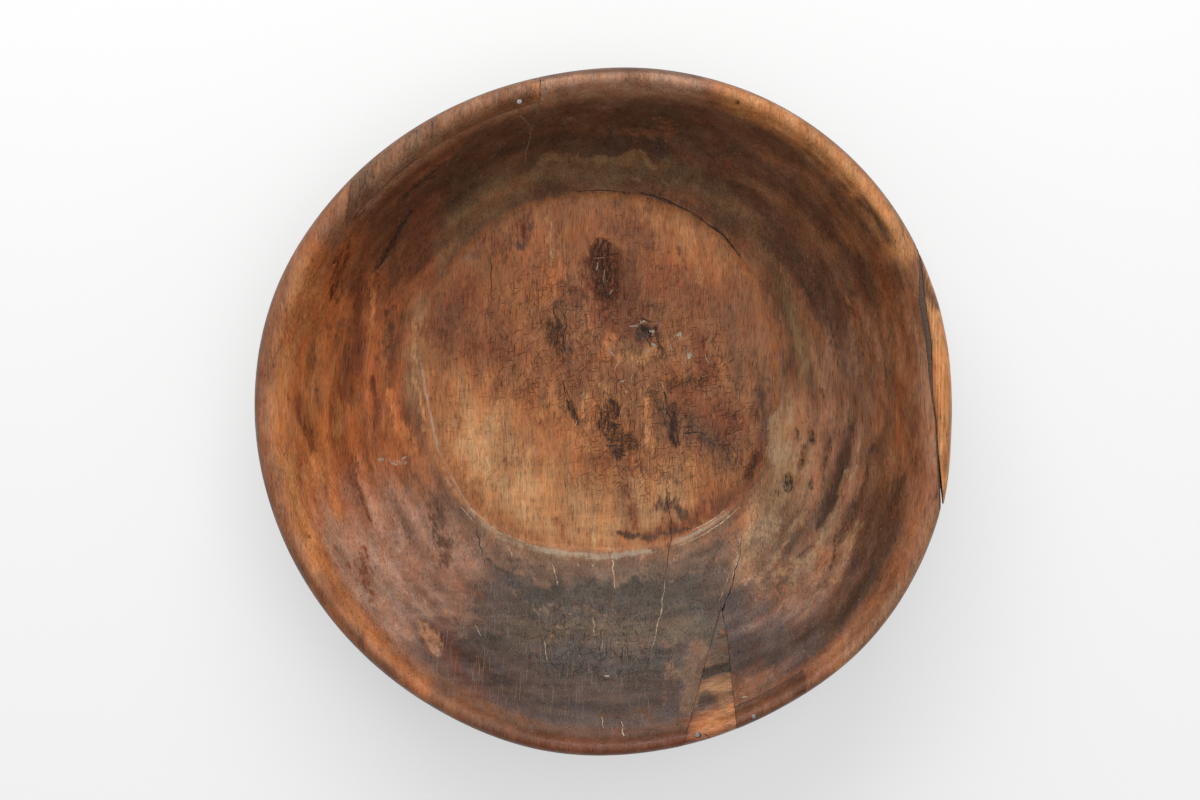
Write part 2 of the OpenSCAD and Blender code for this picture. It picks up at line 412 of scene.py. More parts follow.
# Cuts on a flat: width and length in millimetres, and chance seed
FLOOR_CUTS, FOOT_CUTS = (34, 62, 21), (30, 44, 41)
FLAT_START, FLAT_CLOSE = 50, 997
FLOOR_STEP, FLOOR_CUT_DEPTH, FLOOR_SWELL, FLOOR_SHAKE, FOOT_CUT_DEPTH = 1.1, 0.35, 0.25, 0.2, 0.5
FLOOR_RIDGE, FOOT_RIDGE = 0.35, 0.6
# Shares of each part of the section over which its cuts fade in, and from which they fade out
GOUGE_FADES, ADZE_FADES, FLAT_FADES = (0.06, 0.93), (0.05, 0.9), (0.022, 0.9)
# Broad swell of the hand-cut faces, and the rim's lumps and grit: size in millimetres and chance seed
SWELL, RIM_LUMPS, RIM_GRIT = ((38, 60, 38), 5), ((16, 26, 16), 51), (5, 52, 2)
RIM_LUMP_DEPTH, RIM_GRIT_DEPTH = 0.22, 0.12
# The rim's inner edge is rubbed round by so much, over such a reach along a wall of this length
EDGE_WEAR, EDGE_WEAR_REACH, INNER_LENGTH = 2.6, 15, 133
EDGE_ROUND, EDGE_ROUND_REACH, EDGE_STEP = 8, 30, 0.98


def edge_wear(a, far):
    """How much the corner between rim and wall is rubbed away, at a distance from it, in millimetres."""
    (low_r, high_r), (low_z, high_z) = zip(inner_wall(a, EDGE_STEP), inner_wall(a, 1))
    wall = np.arctan2(high_z - low_z, high_r - low_r)
    rim = np.arctan2(2 * RIM_FALL, rim_width(a) * (1 - CREST_SHARE))
    lost = np.tan((wall - rim) / 2) * (np.hypot(far, EDGE_ROUND) - far)
    return EDGE_WEAR * np.exp(-(far / EDGE_WEAR_REACH) ** 2) + lost * np.exp(-(far / EDGE_ROUND_REACH) ** 2)


def wall_cuts(a, up, wave, share, fade, rows):
    """Depth and ridge value of the rows of cuts on a wall."""
    count, high, lean, wander, seed, deep, swell = rows
    along = up * high
    cut = scoops(a / 360 * count + lean * along + ROW_SHAKE * wave, along + wander * wave, count, seed)
    return fade * (deep * share * (1 - cut) + swell * (1 + wave)), (2 * cut - 1) * share * fade


def flat_cuts(p, shake, wide, long, seed):
    return scoops(p[:, 0] / wide + shake + FLAT_START, p[:, 1] / long + FLAT_START, FLAT_CLOSE, seed)


def tool_marks(section, t, a, p):
    """How far the carver's cuts lie below the plain form, in millimetres, and a ridge value from -1 to 1."""
    depth, ridge = np.zeros(len(a)), np.zeros(len(a))
    wave = lumps(p, *SWELL)
    m = section == INNER
    fade = smooth(0, GOUGE_FADES[0], t[m]) * smooth(1, GOUGE_FADES[1], t[m])
    depth[m], ridge[m] = wall_cuts(a[m], 1 - t[m], wave[m], around(GOUGE_SHARES, a[m]), fade, GOUGE_ROWS)
    depth[m] += edge_wear(a[m], t[m] * INNER_LENGTH)
    m = section == OUTER
    fade = smooth(0, ADZE_FADES[0], t[m]) * smooth(1, ADZE_FADES[1], t[m])
    depth[m], ridge[m] = wall_cuts(a[m], t[m], wave[m], 1, fade, ADZE_ROWS)
    m = section == FLOOR
    cut, step = flat_cuts(p[m], FLOOR_SHAKE * wave[m], *FLOOR_CUTS), smooth(0, FLAT_FADES[0], t[m])
    depth[m] = step * (FLOOR_STEP + FLOOR_CUT_DEPTH * (1 - cut) + FLOOR_SWELL * wave[m])
    ridge[m] = FLOOR_RIDGE * (2 * cut - 1) * step
    m = section == FOOT
    cut = flat_cuts(p[m], 0, *FOOT_CUTS)
    depth[m] = FOOT_CUT_DEPTH * (1 - cut) * smooth(1, FLAT_FADES[1], t[m])
    ridge[m] = (2 * cut - 1) * FOOT_RIDGE
    m = (section == EDGE) | (section == RIM)
    depth[m] = RIM_LUMP_DEPTH * (1 + lumps(p[m], *RIM_LUMPS)) + RIM_GRIT_DEPTH * (1 + lumps(p[m], *RIM_GRIT))
    m = section == RIM
    far = (1 - t[m]) * rim_width(a[m]) * (1 - CREST_SHARE)
    depth[m] += smooth(0, 1, t[m]) * edge_wear(a[m], far)
    return depth, ridge


# Dents and nicks: pixel place, half length and half width in pixels, turn in degrees, depth in millimetres
DENTS = (
    (653, 333, 4, 2, 60, 0.9), (681, 335, 4, 2, 100, 0.9), (688, 354, 5, 2.2, 95, 1.0),
    (707, 358, 4, 1.6, 110, 0.7), (653, 347, 4, 1.8, 30, 0.8), (640, 323, 5, 2, 20, 0.8),
    (598, 262, 4, 4, 0, 1.0), (632, 380, 4, 3, 90, 0.8), (583, 394, 4, 3, 0, 0.8),
    (565, 400, 12, 3, 70, 1.0), (612, 425, 26, 10, 85, 0.7), (559, 330, 26, 7, 90, 0.8),
    (603, 285, 24, 8, 85, 0.7), (678, 420, 22, 6, 85, 0.7), (732, 432, 11, 1.6, 25, 0.8),
    (394, 460, 16, 6, 10, 0.5), (419, 510, 12, 8, 60, 0.8), (436, 516, 8, 5, 30, 0.6),
    (843, 184, 6, 3, 120, 1.6), (863, 204, 9, 3, 128, 1.9), (885, 233, 9, 4, 118, 2.3),
    (902, 280, 12, 3, 105, 1.0), (737, 104, 7, 3, 70, 0.9), (722, 632, 5, 3, 40, 1.6),
    (607, 676, 4, 4, 0, 0.9), (676, 741, 3, 3, 0, 0.5), (723, 567, 8, 5, 40, 0.9),
    (800, 460, 9, 4, 110, 1.1), (788, 484, 6, 5, 0, 1.1), (823, 397, 8, 3, 95, 1.2),
    (477, 250, 24, 7, 60, 0.9), (447, 266, 8, 4, 45, 1.0), (310, 537, 3, 3, 0, 0.7),
)


def dents(p, facing):
    px, py = in_photo(p)
    depth = np.zeros(len(p))
    for x, y, long, wide, turn, deep in DENTS:
        c, s = math.cos(math.radians(turn)), math.sin(math.radians(turn))
        dx, dy = px - x, y - py
        reached = (dx * c + dy * s) ** 2 / long ** 2 + (dy * c - dx * s) ** 2 / wide ** 2
        depth += deep * np.exp(-reached) * (facing > 0)
    return depth


POINTS_AT_ONCE, RING_GAP = 20000, 0.01


def carved_form():
    """The whole bowl as it was carved, with its tool marks and dents, before any repair."""
    places = stations()
    form, line = section_line(places)
    finish_modifier(form, "SCREW", angle=2 * math.pi, steps=AROUND, render_steps=AROUND,
                    use_merge_vertices=True, merge_threshold=RING_GAP * MM, use_normal_calculate=True)
    close_seams(form)
    p = points_of(form)
    a, r = turn_of(p[:, 0], p[:, 1]), np.hypot(p[:, 0], p[:, 1])
    station = np.empty(len(p), int)
    for k in range(0, len(p), POINTS_AT_ONCE):
        some = slice(k, k + POINTS_AT_ONCE)
        gap = (r[some, None] - line[:, 0]) ** 2 + (p[some, 2, None] - line[:, 1]) ** 2
        station[some] = gap.argmin(axis=1)
    section, t = np.empty(len(p), int), np.empty(len(p))
    for k, (s, share) in enumerate(places):
        m = station == k
        radius, z, c = section_place(s, share, a[m])
        p[m, 0] = radius * np.cos(np.radians(a[m])) + FLOOR_OFF * FLOOR_SIDE_SHARE * c
        p[m, 1] = radius * np.sin(np.radians(a[m])) + FLOOR_OFF * c
        p[m, 2] = z
        section[m], t[m] = s, share
    put_points(form, p)
    n = normals_of(form)
    depth, ridge = tool_marks(section, t, a, p)
    depth += dents(p, n[:, 2])
    put_points(form, p - n * depth[:, None])
    keep_values(form, "ridge", ridge)
    return named(form, "carved_form")


# The cuts for the repairs
def on_outline(a):
    r, turn = float(reach(a)), math.radians(a)
    return np.array([r * math.cos(turn), r * math.sin(turn)])


def end_cut(a, lean, side):
    """A strip's end cut, from outside the rim to inside it, leaning from +Y by an angle in degrees."""
    along = side * np.array([math.sin(math.radians(lean)), math.cos(math.radians(lean))])
    return on_outline(a) + OVERRUN * along, on_outline(a) - 2 * OVERRUN * along


def plans():
    """The outlines of the cuts, seen from above, in millimetres."""
    split = [BOWL_W / 2 * np.array(s) for s in SPLIT_SHARES]
    pitch = [p + [PITCH_W * s, 0] for p, s in zip(split, PITCH_SHARES)]
    far = BOWL_W / 2 + OVERRUN
    tip = on_outline(WEDGE_ANGLE) + [WEDGE_W * WEDGE_TIP_SHARE, WEDGE_L]
    wedge = [tip + [WEDGE_W * s[0], WEDGE_L * s[1]] for s in WEDGE_SHARES]
    lower_end = end_cut(LOWER_ANGLE, -LOWER_LEAN, -1)
    lower_start = wedge[1] + LOWER_START_SHARE * (wedge[2] - wedge[1])
    upper_from, upper_to = end_cut(UPPER_FROM, 0, 1), end_cut(UPPER_TO, -UPPER_LEAN, 1)
    return {
        "outside": split + [np.array([far, split[-1][1]]), np.array([far, split[0][1]])],
        "segment": pitch + [np.array([far, pitch[-1][1]]), np.array([far, pitch[0][1]])],
        "pitch": split + pitch[::-1],
        "wedge": wedge,
        "lower": [lower_start, lower_end[1], lower_end[0], wedge[2]],
        "upper": [upper_to[0], upper_from[0], upper_from[1], upper_to[1]],
    }


def drawn_in(plan, gap):
    """A convex outline, given clockwise, drawn in by a gap on every side."""
    made = []
    for i, p in enumerate(plan):
        before, after = p - plan[i - 1], plan[(i + 1) % len(plan)] - p
        a = np.array([before[1], -before[0]]) / np.hypot(*before)
        b = np.array([after[1], -after[0]]) / np.hypot(*after)
        made.append(p + gap * (a + b) / (1 + a @ b))
    return made


def down_cutter(plan, low, material):
    """A block that cuts straight down along a plan, to a height in millimetres."""
    only()
    bpy.ops.mesh.primitive_circle_add(vertices=len(plan), radius=1, fill_type="NGON")
    cutter = bpy.context.object
    put_points(cutter, np.array([(x, y, low) for x, y in plan]))
    start_edit()
    bpy.ops.mesh.extrude_region_move(TRANSFORM_OT_translate={"value": (0, 0, (BOWL_H + OVERRUN - low) * MM)})
    end_edit()
    cutter.data.materials.append(material)
    return cutter


def cut(obj, cutter, operation="DIFFERENCE"):
    finish_modifier(obj, "BOOLEAN", object=cutter, operation=operation, solver="MANIFOLD",
                    material_mode="TRANSFER")
    bpy.data.objects.remove(cutter)


# Cracks and scores: kind, width and depth in millimetres, then the pixels that they run through
CRACKS = (
    ("dark", 0.6, 1.6, (667, 486), (667, 500), (671, 520), (671, 540), (667, 562), (665, 580)),
    ("pale", 0.9, 0.4, (665, 580), (662, 606), (657, 629), (652, 647)),
    ("dark", 0.8, 2.2, (742, 528), (741, 545), (738, 562), (732, 584), (724, 606), (720, 626)),
    ("pale", 0.9, 1.6, (518, 107), (521, 116), (526, 122), (532, 126)),
    ("pale", 0.8, 1.6, (540, 84), (539, 98), (537, 112), (533, 124)),
    ("pale", 0.9, 1.6, (532, 127), (529, 140), (526, 150), (526, 164)),
    ("pale", 0.5, 0.8, (525, 168), (522, 186), (518, 202)),
    ("pale", 0.9, 0.4, (461, 507), (466, 512), (475, 523)),
    ("dark", 0.7, 1.4, (475, 524), (479, 540), (485, 566)),
    ("pale", 1.1, 0.4, (612, 553), (613, 568), (615, 588)),
    ("pale", 1.0, 0.4, (552, 564), (555, 573), (558, 583)),
    ("pale", 0.9, 0.4, (507, 545), (510, 550), (512, 558)),
    ("dark", 0.5, 0.8, (702, 733), (706, 735), (711, 738)),
    ("dark", 0.7, 0.8, (492, 236), (491, 262), (491, 288), (492, 310)),
    ("dark", 2.6, 2.0, (411, 209), (404, 222), (397, 234), (391, 246)),
    ("dark", 2.2, 1.8, (391, 247), (386, 255), (379, 268)), ("pale", 0.8, 0.3, (601, 716), (604, 729)),
    ("pale", 0.8, 0.3, (621, 721), (624, 736)), ("dark", 0.7, 0.8, (720, 439), (731, 433), (743, 428)),
    ("dark", 0.6, 0.8, (563, 392), (568, 402), (571, 410)), ("pale", 0.7, 0.3, (603, 640), (601, 652)),
    ("pale", 0.7, 0.3, (475, 625), (481, 636)), ("pale", 0.7, 0.3, (593, 615), (595, 636)),
    ("pale", 0.7, 0.3, (544, 640), (547, 660)), ("pale", 0.7, 0.3, (741, 532), (738, 556), (732, 582)),
    ("dark", 2.0, 1.6, (725, 604), (722, 612), (720, 622)),
    ("dark", 0.5, 0.6, (640, 322), (650, 326), (656, 338), (664, 352), (668, 362)),
    ("dark", 0.5, 0.6, (560, 372), (566, 390), (574, 408), (578, 424)),
    ("dark", 0.5, 0.5, (596, 404), (606, 412), (612, 424), (622, 430)),
    ("dark", 0.5, 0.5, (604, 446), (614, 440), (628, 444)),
    ("dark", 0.5, 0.5, (672, 392), (668, 410), (674, 430), (676, 450)),
    ("dark", 0.4, 0.5, (590, 252), (596, 262), (592, 276), (600, 290)),
    ("dark", 0.4, 0.5, (690, 388), (706, 392), (722, 386)),
    ("dark", 0.4, 0.5, (640, 395), (652, 390), (668, 394)),
    # The next bright grooves run along the floor's edge, and the pale ones after them lie on the ridges below
    # it: painted highlight where light catches that edge
    ("chip", 0.6, 0.3, (420, 360), (424, 384), (428, 405), (432, 428), (438, 449), (447, 470), (459, 490)),
    ("chip", 0.5, 0.3, (459, 491), (471, 508), (484, 521), (497, 532), (520, 543), (541, 549), (566, 554)),
    ("chip", 1.2, 0.25, (674, 543), (690, 536), (706, 528), (724, 515)),
    ("pale", 1.1, 0.25, (680, 545), (702, 535), (722, 522), (740, 507)),
    ("pale", 0.9, 0.25, (692, 530), (710, 521), (728, 508)),
    # The next three dark grooves run along the floor's upper edge; their darkness is partly painted shadow of
    # the floor's step
    ("dark", 0.8, 0.7, (577, 191), (600, 190), (626, 192)),
    ("dark", 0.9, 0.8, (640, 193), (664, 199), (690, 212)),
    ("dark", 0.9, 0.7, (700, 219), (722, 234), (741, 257), (752, 276)),
    ("dark", 0.6, 0.5, (560, 308), (566, 322), (563, 344), (570, 366)),
    ("dark", 0.5, 0.5, (600, 392), (600, 410), (603, 426)),
    ("dark", 0.6, 0.5, (621, 396), (620, 416), (624, 436)),
    ("dark", 0.6, 0.5, (600, 436), (618, 433), (634, 436)),
    ("dark", 0.6, 0.5, (664, 390), (667, 402), (666, 418)),
    ("dark", 0.5, 0.5, (684, 434), (698, 432), (708, 436)),
    ("pale", 0.7, 0.35, (742, 534), (738, 552), (734, 570)),
    ("pale", 0.5, 0.3, (729, 572), (724, 590), (719, 604)), ("chip", 0.6, 0.3, (719, 563), (720, 567)),
    ("chip", 0.6, 0.3, (724, 568), (726, 572)), ("chip", 0.9, 0.3, (545, 551), (549, 553)),
    ("chip", 0.8, 0.3, (556, 556), (561, 555)), ("chip", 1.0, 0.3, (569, 552), (572, 555)),
    ("chip", 0.8, 0.3, (584, 559), (590, 558)), ("chip", 1.0, 0.3, (600, 552), (603, 555)),
    ("chip", 0.8, 0.3, (616, 557), (623, 556)), ("chip", 0.9, 0.3, (634, 551), (637, 554)),
    ("chip", 0.8, 0.3, (651, 553), (657, 551)), ("chip", 0.9, 0.3, (577, 563), (579, 567)),
    ("chip", 0.8, 0.3, (592, 567), (595, 564)), ("dark", 1.0, 0.5, (601, 408), (602, 420)),
    ("dark", 0.9, 0.5, (606, 398), (607, 412)), ("dark", 0.9, 0.5, (612, 396), (613, 410)),
    ("dark", 1.0, 0.5, (618, 400), (618, 418)), ("dark", 0.9, 0.5, (600, 424), (600, 438)),
    ("dark", 1.1, 0.5, (608, 414), (607, 430)), ("dark", 1.0, 0.5, (614, 418), (614, 436)),
    ("dark", 1.4, 0.5, (606, 446), (622, 446)), ("dark", 1.6, 0.6, (612, 452), (626, 456)),
    ("dark", 1.2, 0.5, (620, 438), (632, 434)), ("dark", 1.0, 0.5, (624, 441), (636, 442)),
    ("dark", 0.8, 0.5, (603, 412), (612, 411)), ("dark", 0.8, 0.5, (611, 426), (621, 424)),
    ("dark", 1.2, 0.5, (664, 392), (666, 404)), ("dark", 1.8, 0.6, (672, 418), (673, 434)),
    ("dark", 1.2, 0.5, (666, 408), (670, 418)), ("dark", 1.5, 0.5, (676, 430), (680, 446)),
    ("dark", 0.9, 0.5, (668, 390), (680, 384)), ("dark", 0.9, 0.5, (682, 384), (696, 378)),
    ("dark", 0.8, 0.5, (700, 378), (708, 372)), ("dark", 1.3, 0.4, (684, 434), (696, 432)),
    ("dark", 1.0, 0.5, (553, 308), (556, 318)), ("dark", 0.9, 0.5, (558, 330), (556, 346)),
    ("dark", 1.0, 0.5, (562, 380), (567, 396)), ("dark", 1.9, 0.6, (571, 404), (575, 418)),
    ("dark", 1.4, 0.5, (564, 397), (570, 405)), ("dark", 1.2, 0.5, (593, 250), (592, 262)),
    ("dark", 0.9, 0.5, (606, 255), (620, 254)), ("dark", 1.3, 0.5, (600, 280), (606, 292)),
    ("dark", 1.3, 0.5, (640, 318), (652, 322)), ("dark", 1.2, 0.5, (644, 336), (652, 348)),
    ("dark", 1.0, 0.5, (655, 326), (658, 340)), ("dark", 0.45, 0.4, (806, 695), (805, 684), (804, 672)),
    ("dark", 0.45, 0.4, (350, 188), (348, 200), (345, 222)),
    ("dark", 0.4, 0.4, (540, 79), (540, 98), (540, 106)), ("dark", 0.5, 0.4, (726, 418), (736, 415)),
    ("dark", 0.5, 0.4, (732, 447), (738, 456)), ("dark", 0.5, 0.5, (612, 366), (618, 380), (630, 392)),
    ("dark", 0.5, 0.4, (640, 440), (640, 462), (644, 478)),
)
# The wedge's own crack, counted from 0 in the list above
WEDGE_CRACKS = (12,)
# Small chips, painted bright as highlights where their edges catch the light: pixel place, half length in
# pixels, width in millimetres, turn in degrees
CHIP_DEPTH = 0.35
GLINTING_CHIPS = (
    (653, 333, 3, 1.4, 60), (681, 335, 4, 1.4, 100), (688, 354, 5, 1.4, 95), (707, 358, 5, 0.9, 110),
    (653, 347, 4, 1.4, 30), (640, 323, 6, 1.1, 25), (634, 326, 5, 1, 0), (599, 258, 5, 1.1, 5),
    (597, 266, 4, 1.2, 80), (607, 676, 2.5, 2.4, 0), (745, 697, 3, 1.2, 10), (576, 423, 3, 1, 70),
    (622, 381, 3, 1.6, 20), (632, 378, 4, 1.2, 80), (612, 352, 5, 1, 120), (617, 365, 5, 0.9, 60),
    (381, 459, 3, 1.6, 10), (394, 464, 3, 1.6, 160), (557, 583, 2, 1.1, 90), (404, 458, 3, 1.6, 40),
    (671, 349, 4, 0.9, 100), (648, 350, 3, 1, 75), (611, 292, 3, 0.9, 60), (604, 276, 6, 0.7, 85),
    (702, 377, 5, 0.8, 20), (663, 385, 4, 0.9, 110), (583, 393, 2.5, 1.2, 60), (493, 417, 4, 0.8, 30),
)
# Cracks lie in this many batches, so that no two blades of one batch cross
CRACK_BATCHES = 4
# A blade has a point every few pixels, and each inner one wanders by these many pixels at these rates
BLADE_STEP, BLADE_WANDER = 5, ((0.7, 2.1), (0.4, 4.7))
# Its width at the ends, how fast it fills out, where its ends lie in steps, and its uneven sides
BLADE_TIP, BLADE_FULLNESS, BLADE_START, BLADE_END = 0.12, 0.6, 0.35, 0.3
BLADE_LEAST, BLADE_UNEVEN, BLADE_RATE, BLADE_ABOVE = 0.85, 0.3, 3.3, 1.6


def fine_path(path):
    """A path with a point every few pixels."""
    path = [Vector(p) for p in path]
    fine = [path[0]]
    for here, there in zip(path, path[1:]):
        steps = max(2, round((there - here).length / BLADE_STEP))
        fine += [here.lerp(there, k / steps) for k in range(1, steps + 1)]
    return fine


def spots_on(sight, fine):
    """Where the points of a path, shaken a little between its ends, meet the surface."""
    spots = []
    (near, slow), (far, fast) = BLADE_WANDER
    for k, (x, y) in enumerate(fine):
        inside = 0 < k < len(fine) - 1
        wander = near * math.sin(slow * k + x) + far * math.sin(fast * k + y) if inside else 0
        start, way = sight_line(x + wander, y)
        spot, normal, _, _ = sight.ray_cast(start * MM, way)
        if spot is not None:
            spots.append((spot / MM, normal))
    return spots


def crack_cutter(sight, width, depth, path, material):
    """A long V-shaped blade that follows a crack over the surface, thin at both ends."""
    spots = spots_on(sight, fine_path(path))
    points, faces, n = [], [], len(spots)
    for k, (spot, normal) in enumerate(spots):
        run = spots[min(k + 1, n - 1)][0] - spots[max(k - 1, 0)][0]
        side = normal.cross(run).normalized()
        along = math.sin(math.pi * (k + BLADE_START) / (n - BLADE_END))
        thin = BLADE_TIP + (1 - BLADE_TIP) * along ** BLADE_FULLNESS
        thin *= BLADE_LEAST + BLADE_UNEVEN * math.sin(BLADE_RATE * k + spot.x)
        deep, half = depth * thin, width * thin / 2
        flare, top = half * (deep + BLADE_ABOVE) / deep, spot + BLADE_ABOVE * normal
        points += [top - flare * side, top + flare * side, spot - deep * normal]
    for b in range(0, 3 * (n - 1), 3):
        faces += [(b, b + 3, b + 4, b + 1), (b + 1, b + 4, b + 5, b + 2), (b + 2, b + 5, b + 3, b)]
    faces += [(0, 1, 2), (3 * n - 1, 3 * n - 2, 3 * n - 3)]
    mesh = bpy.data.meshes.new("crack_blade")
    mesh.from_pydata([p * MM for p in points], [], faces)
    blade = bpy.data.objects.new("crack_blade", mesh)
    bpy.context.scene.collection.objects.link(blade)
    mesh.materials.append(material)
    close_seams(blade)
    return blade


# Bright grooves get a pale glint colour: painted highlights along the floor's edge and on small chips
CRACK_LOOKS = {"dark": "dark crack", "pale": "pale crack", "chip": "painted highlight"}


def joined(blades):
    only(*blades)
    bpy.ops.object.join()
    return blades[0]


def glinting_chip_paths():
    for x, y, long, wide, turn in GLINTING_CHIPS:
        c, s = long * math.cos(math.radians(turn)), long * math.sin(math.radians(turn))
        yield "chip", wide, CHIP_DEPTH, (x - c, y + s), (x + c, y - s)


def cut_cracks(obj, sight, looks, chosen=None):
    blades = [(k, crack_cutter(sight, width, depth, path, looks[CRACK_LOOKS[kind]]))
              for k, (kind, width, depth, *path) in enumerate((*CRACKS, *glinting_chip_paths()))
              if chosen is None or k in chosen]
    for batch in range(CRACK_BATCHES):
        some = [blade for k, blade in blades if k % CRACK_BATCHES == batch]
        if some:
            cut(obj, joined(some))


# Nails
def rim_place(a, share):
    """Centre of a nail's head on the rim, in millimetres."""
    width, c = float(rim_width(a)), CREST_SHARE * float(rim_width(a))
    inset = share * width
    if inset < c:
        z = float(crest_z(a)) - RIM_ROUND * (1 - math.sqrt(1 - ((c - inset) / c) ** 2))
    else:
        z = float(crest_z(a)) - RIM_FALL * ((inset - c) / (width - c)) ** 2
    r = float(reach(a)) - inset
    return Vector((r * math.cos(math.radians(a)), r * math.sin(math.radians(a)), z))


ROD_SIDES = 24


def turned_rod(rings):
    """A rod that starts as a disc and is extruded down from ring to ring, each with its height and radius."""
    only()
    height, radius = rings[0]
    bpy.ops.mesh.primitive_circle_add(vertices=ROD_SIDES, radius=radius * MM, fill_type="NGON",
                                      location=(0, 0, height * MM))
    rod = bpy.context.object
    bpy.ops.object.transform_apply(location=True)
    start_edit()
    for z, r in rings[1:]:
        bpy.ops.mesh.extrude_region_move(TRANSFORM_OT_translate={"value": (0, 0, (z - height) * MM)})
        bpy.ops.transform.resize(value=(r / radius, r / radius, 1), center_override=(0, 0, z * MM))
        height, radius = z, r
    end_edit()
    return rod


def at_nail(obj, name):
    """Moves a rod that stands at the origin to a nail's place and lean."""
    a, share, lean_in, lean_round = NAILS[name]
    obj.rotation_euler = Euler((math.radians(lean_round), math.radians(lean_in), math.radians(a)))
    turn = obj.rotation_euler.to_matrix()
    obj.location = (rim_place(a, share) + turn @ Vector((0, 0, -HEAD_SINK))) * MM
    only(obj)
    bpy.ops.object.transform_apply(location=True, rotation=True, scale=True)
    return obj


# A forged nail is a little slimmer than its drawn size. Its rings: depth in the head in millimetres and
# share of the head's radius, then share of the shank's length and of its radius
FORGED = 0.97
HEAD_RINGS = ((0, 0.3), (-0.05, 0.72), (-0.2, 0.93), (-0.5, 1), (-HEAD_T + 0.25, 1), (-HEAD_T, 0.93))
SHANK_TOP, SHANK_RINGS = 0.05, ((0.4, 0.98), (0.84, 0.94), (1, 0.25))
BEAT, BEAT_OCTAVES, BEAT_FROM, BEAT_IN, BEAT_DOWN = (1.5, 1.5, 1.2), 2, -0.3, 0.05, 0.13
HOLE_ROOM, SHANK_ROOM, HOLE_STEP = 0.06, 0.05, 0.1
FIRST_BEAT = 90
# Edges that turn by more degrees than this stay sharp
WOOD_CREASE, NAIL_CREASE = 40, 50


def hammered_nail(name, seed):
    """A hand-made nail: a flat head with worn, uneven edges on a shank that ends in a point."""
    head, shank = HEAD_D / 2 * FORGED, SHANK_D / 2 * FORGED
    nail = turned_rod([(z, head * r) for z, r in HEAD_RINGS] + [(-HEAD_T - SHANK_TOP, shank)]
                      + [(-HEAD_T - NAIL_L * z, shank * r) for z, r in SHANK_RINGS])
    p = points_of(nail)
    beat = lumps(p, BEAT, seed, BEAT_OCTAVES)
    top = smooth(-HEAD_T, BEAT_FROM, p[:, 2])
    p[:, :2] *= (1 - BEAT_IN * (1 + beat) * top)[:, None]
    p[:, 2] -= BEAT_DOWN * (1 + beat) * top
    put_points(nail, p)
    return shade(named(at_nail(nail, name), name + "_forged"), NAIL_CREASE)


def nail_hole(name, material):
    wide, thin = HEAD_D / 2 + HOLE_ROOM, SHANK_D / 2 + SHANK_ROOM
    cutter = turned_rod([(OVERRUN, wide), (-HEAD_T - SHANK_TOP, wide), (-HEAD_T - HOLE_STEP, thin),
                         (-HEAD_T - NAIL_L - HOLE_STEP, thin)])
    cutter.data.materials.append(material)
    return at_nail(cutter, name)


# The pieces of wood. Each worn one has its own skin: the size of its mesh in millimetres, how often its
# edges are rubbed, how much its grain stands out in millimetres, and a chance seed
SEGMENT_SKIN, PITCH_SKIN, WEDGE_SKIN = (0.9, 3, 0.25, 71), (0.6, 1, 0.1, 72), (0.6, 1, 0.1, 74)
RUB_STRENGTH, GRAIN_LUMPS = 0.5, (3.5, 26, 3.5)


def worn_solid(obj, mesh_size, rubs, grain_relief, seed):
    """Gives a sawn piece an even skin, rubs its edges round, and raises its grain a little."""
    finish_modifier(obj, "REMESH", mode="VOXEL", voxel_size=mesh_size * MM, use_smooth_shade=True)
    drop_crumbs(obj)
    finish_modifier(obj, "SMOOTH", factor=RUB_STRENGTH, iterations=rubs)
    p, n = points_of(obj), normals_of(obj)
    depth = grain_relief * (1 + lumps(p, GRAIN_LUMPS, seed)) / 2
    put_points(obj, p - n * depth[:, None])


def sawn_from(form, name, plan, low, look, skin=None):
    """What a plan cuts out of the carved form, down to a height, with a worn skin where one is given."""
    piece = copied(form, name)
    cut(piece, down_cutter(plan, low, look), "INTERSECT")
    if skin:
        worn_solid(piece, *skin)
    return coated(piece, look)


def make_bowl(form, cuts, sight, looks):
    bowl = coated(copied(form, "bowl_carved"), looks["bowl"])
    seat = BOWL_H - STRIP_D
    for key, low in (("outside", -OVERRUN), ("wedge", -OVERRUN), ("lower", seat), ("upper", seat)):
        cut(bowl, down_cutter(cuts[key], low, looks["raw cut"]))
    cut_cracks(bowl, sight, looks)
    for name in NAILS:
        cut(bowl, nail_hole(name, looks["raw cut"]))
    drop_crumbs(bowl)
    return shade(bowl, WOOD_CREASE)


# The segment's lower end stands out by so much, from this height in the photograph down, over this run
SEGMENT_SHIFT, SEGMENT_SHIFT_FROM, SEGMENT_SHIFT_RUN = 1.5, -8, 60


def make_segment(form, cuts, looks):
    piece = sawn_from(form, "rim_segment_refixed", cuts["segment"], -OVERRUN, looks["segment"], SEGMENT_SKIN)
    p = points_of(piece)
    p[:, 0] += SEGMENT_SHIFT * smooth(0, 1, (SEGMENT_SHIFT_FROM - p[:, 1]) / SEGMENT_SHIFT_RUN)
    put_points(piece, p)
    return piece


# The pitch lies a little below the wood and is gritty on top
PITCH_SINK, PITCH_GRIT, PITCH_LUMPS, PITCH_UP = 0.35, 0.3, (1.6, 73, 3), (0.1, 0.5)


def make_pitch(form, cuts, looks):
    piece = sawn_from(form, "pitch_filling", cuts["pitch"], -OVERRUN, looks["pitch"], PITCH_SKIN)
    p, n = points_of(piece), normals_of(piece)
    up = smooth(*PITCH_UP, n[:, 2])
    p[:, 2] -= up * (PITCH_SINK - PITCH_GRIT * lumps(p, *PITCH_LUMPS))
    put_points(piece, p)
    return piece


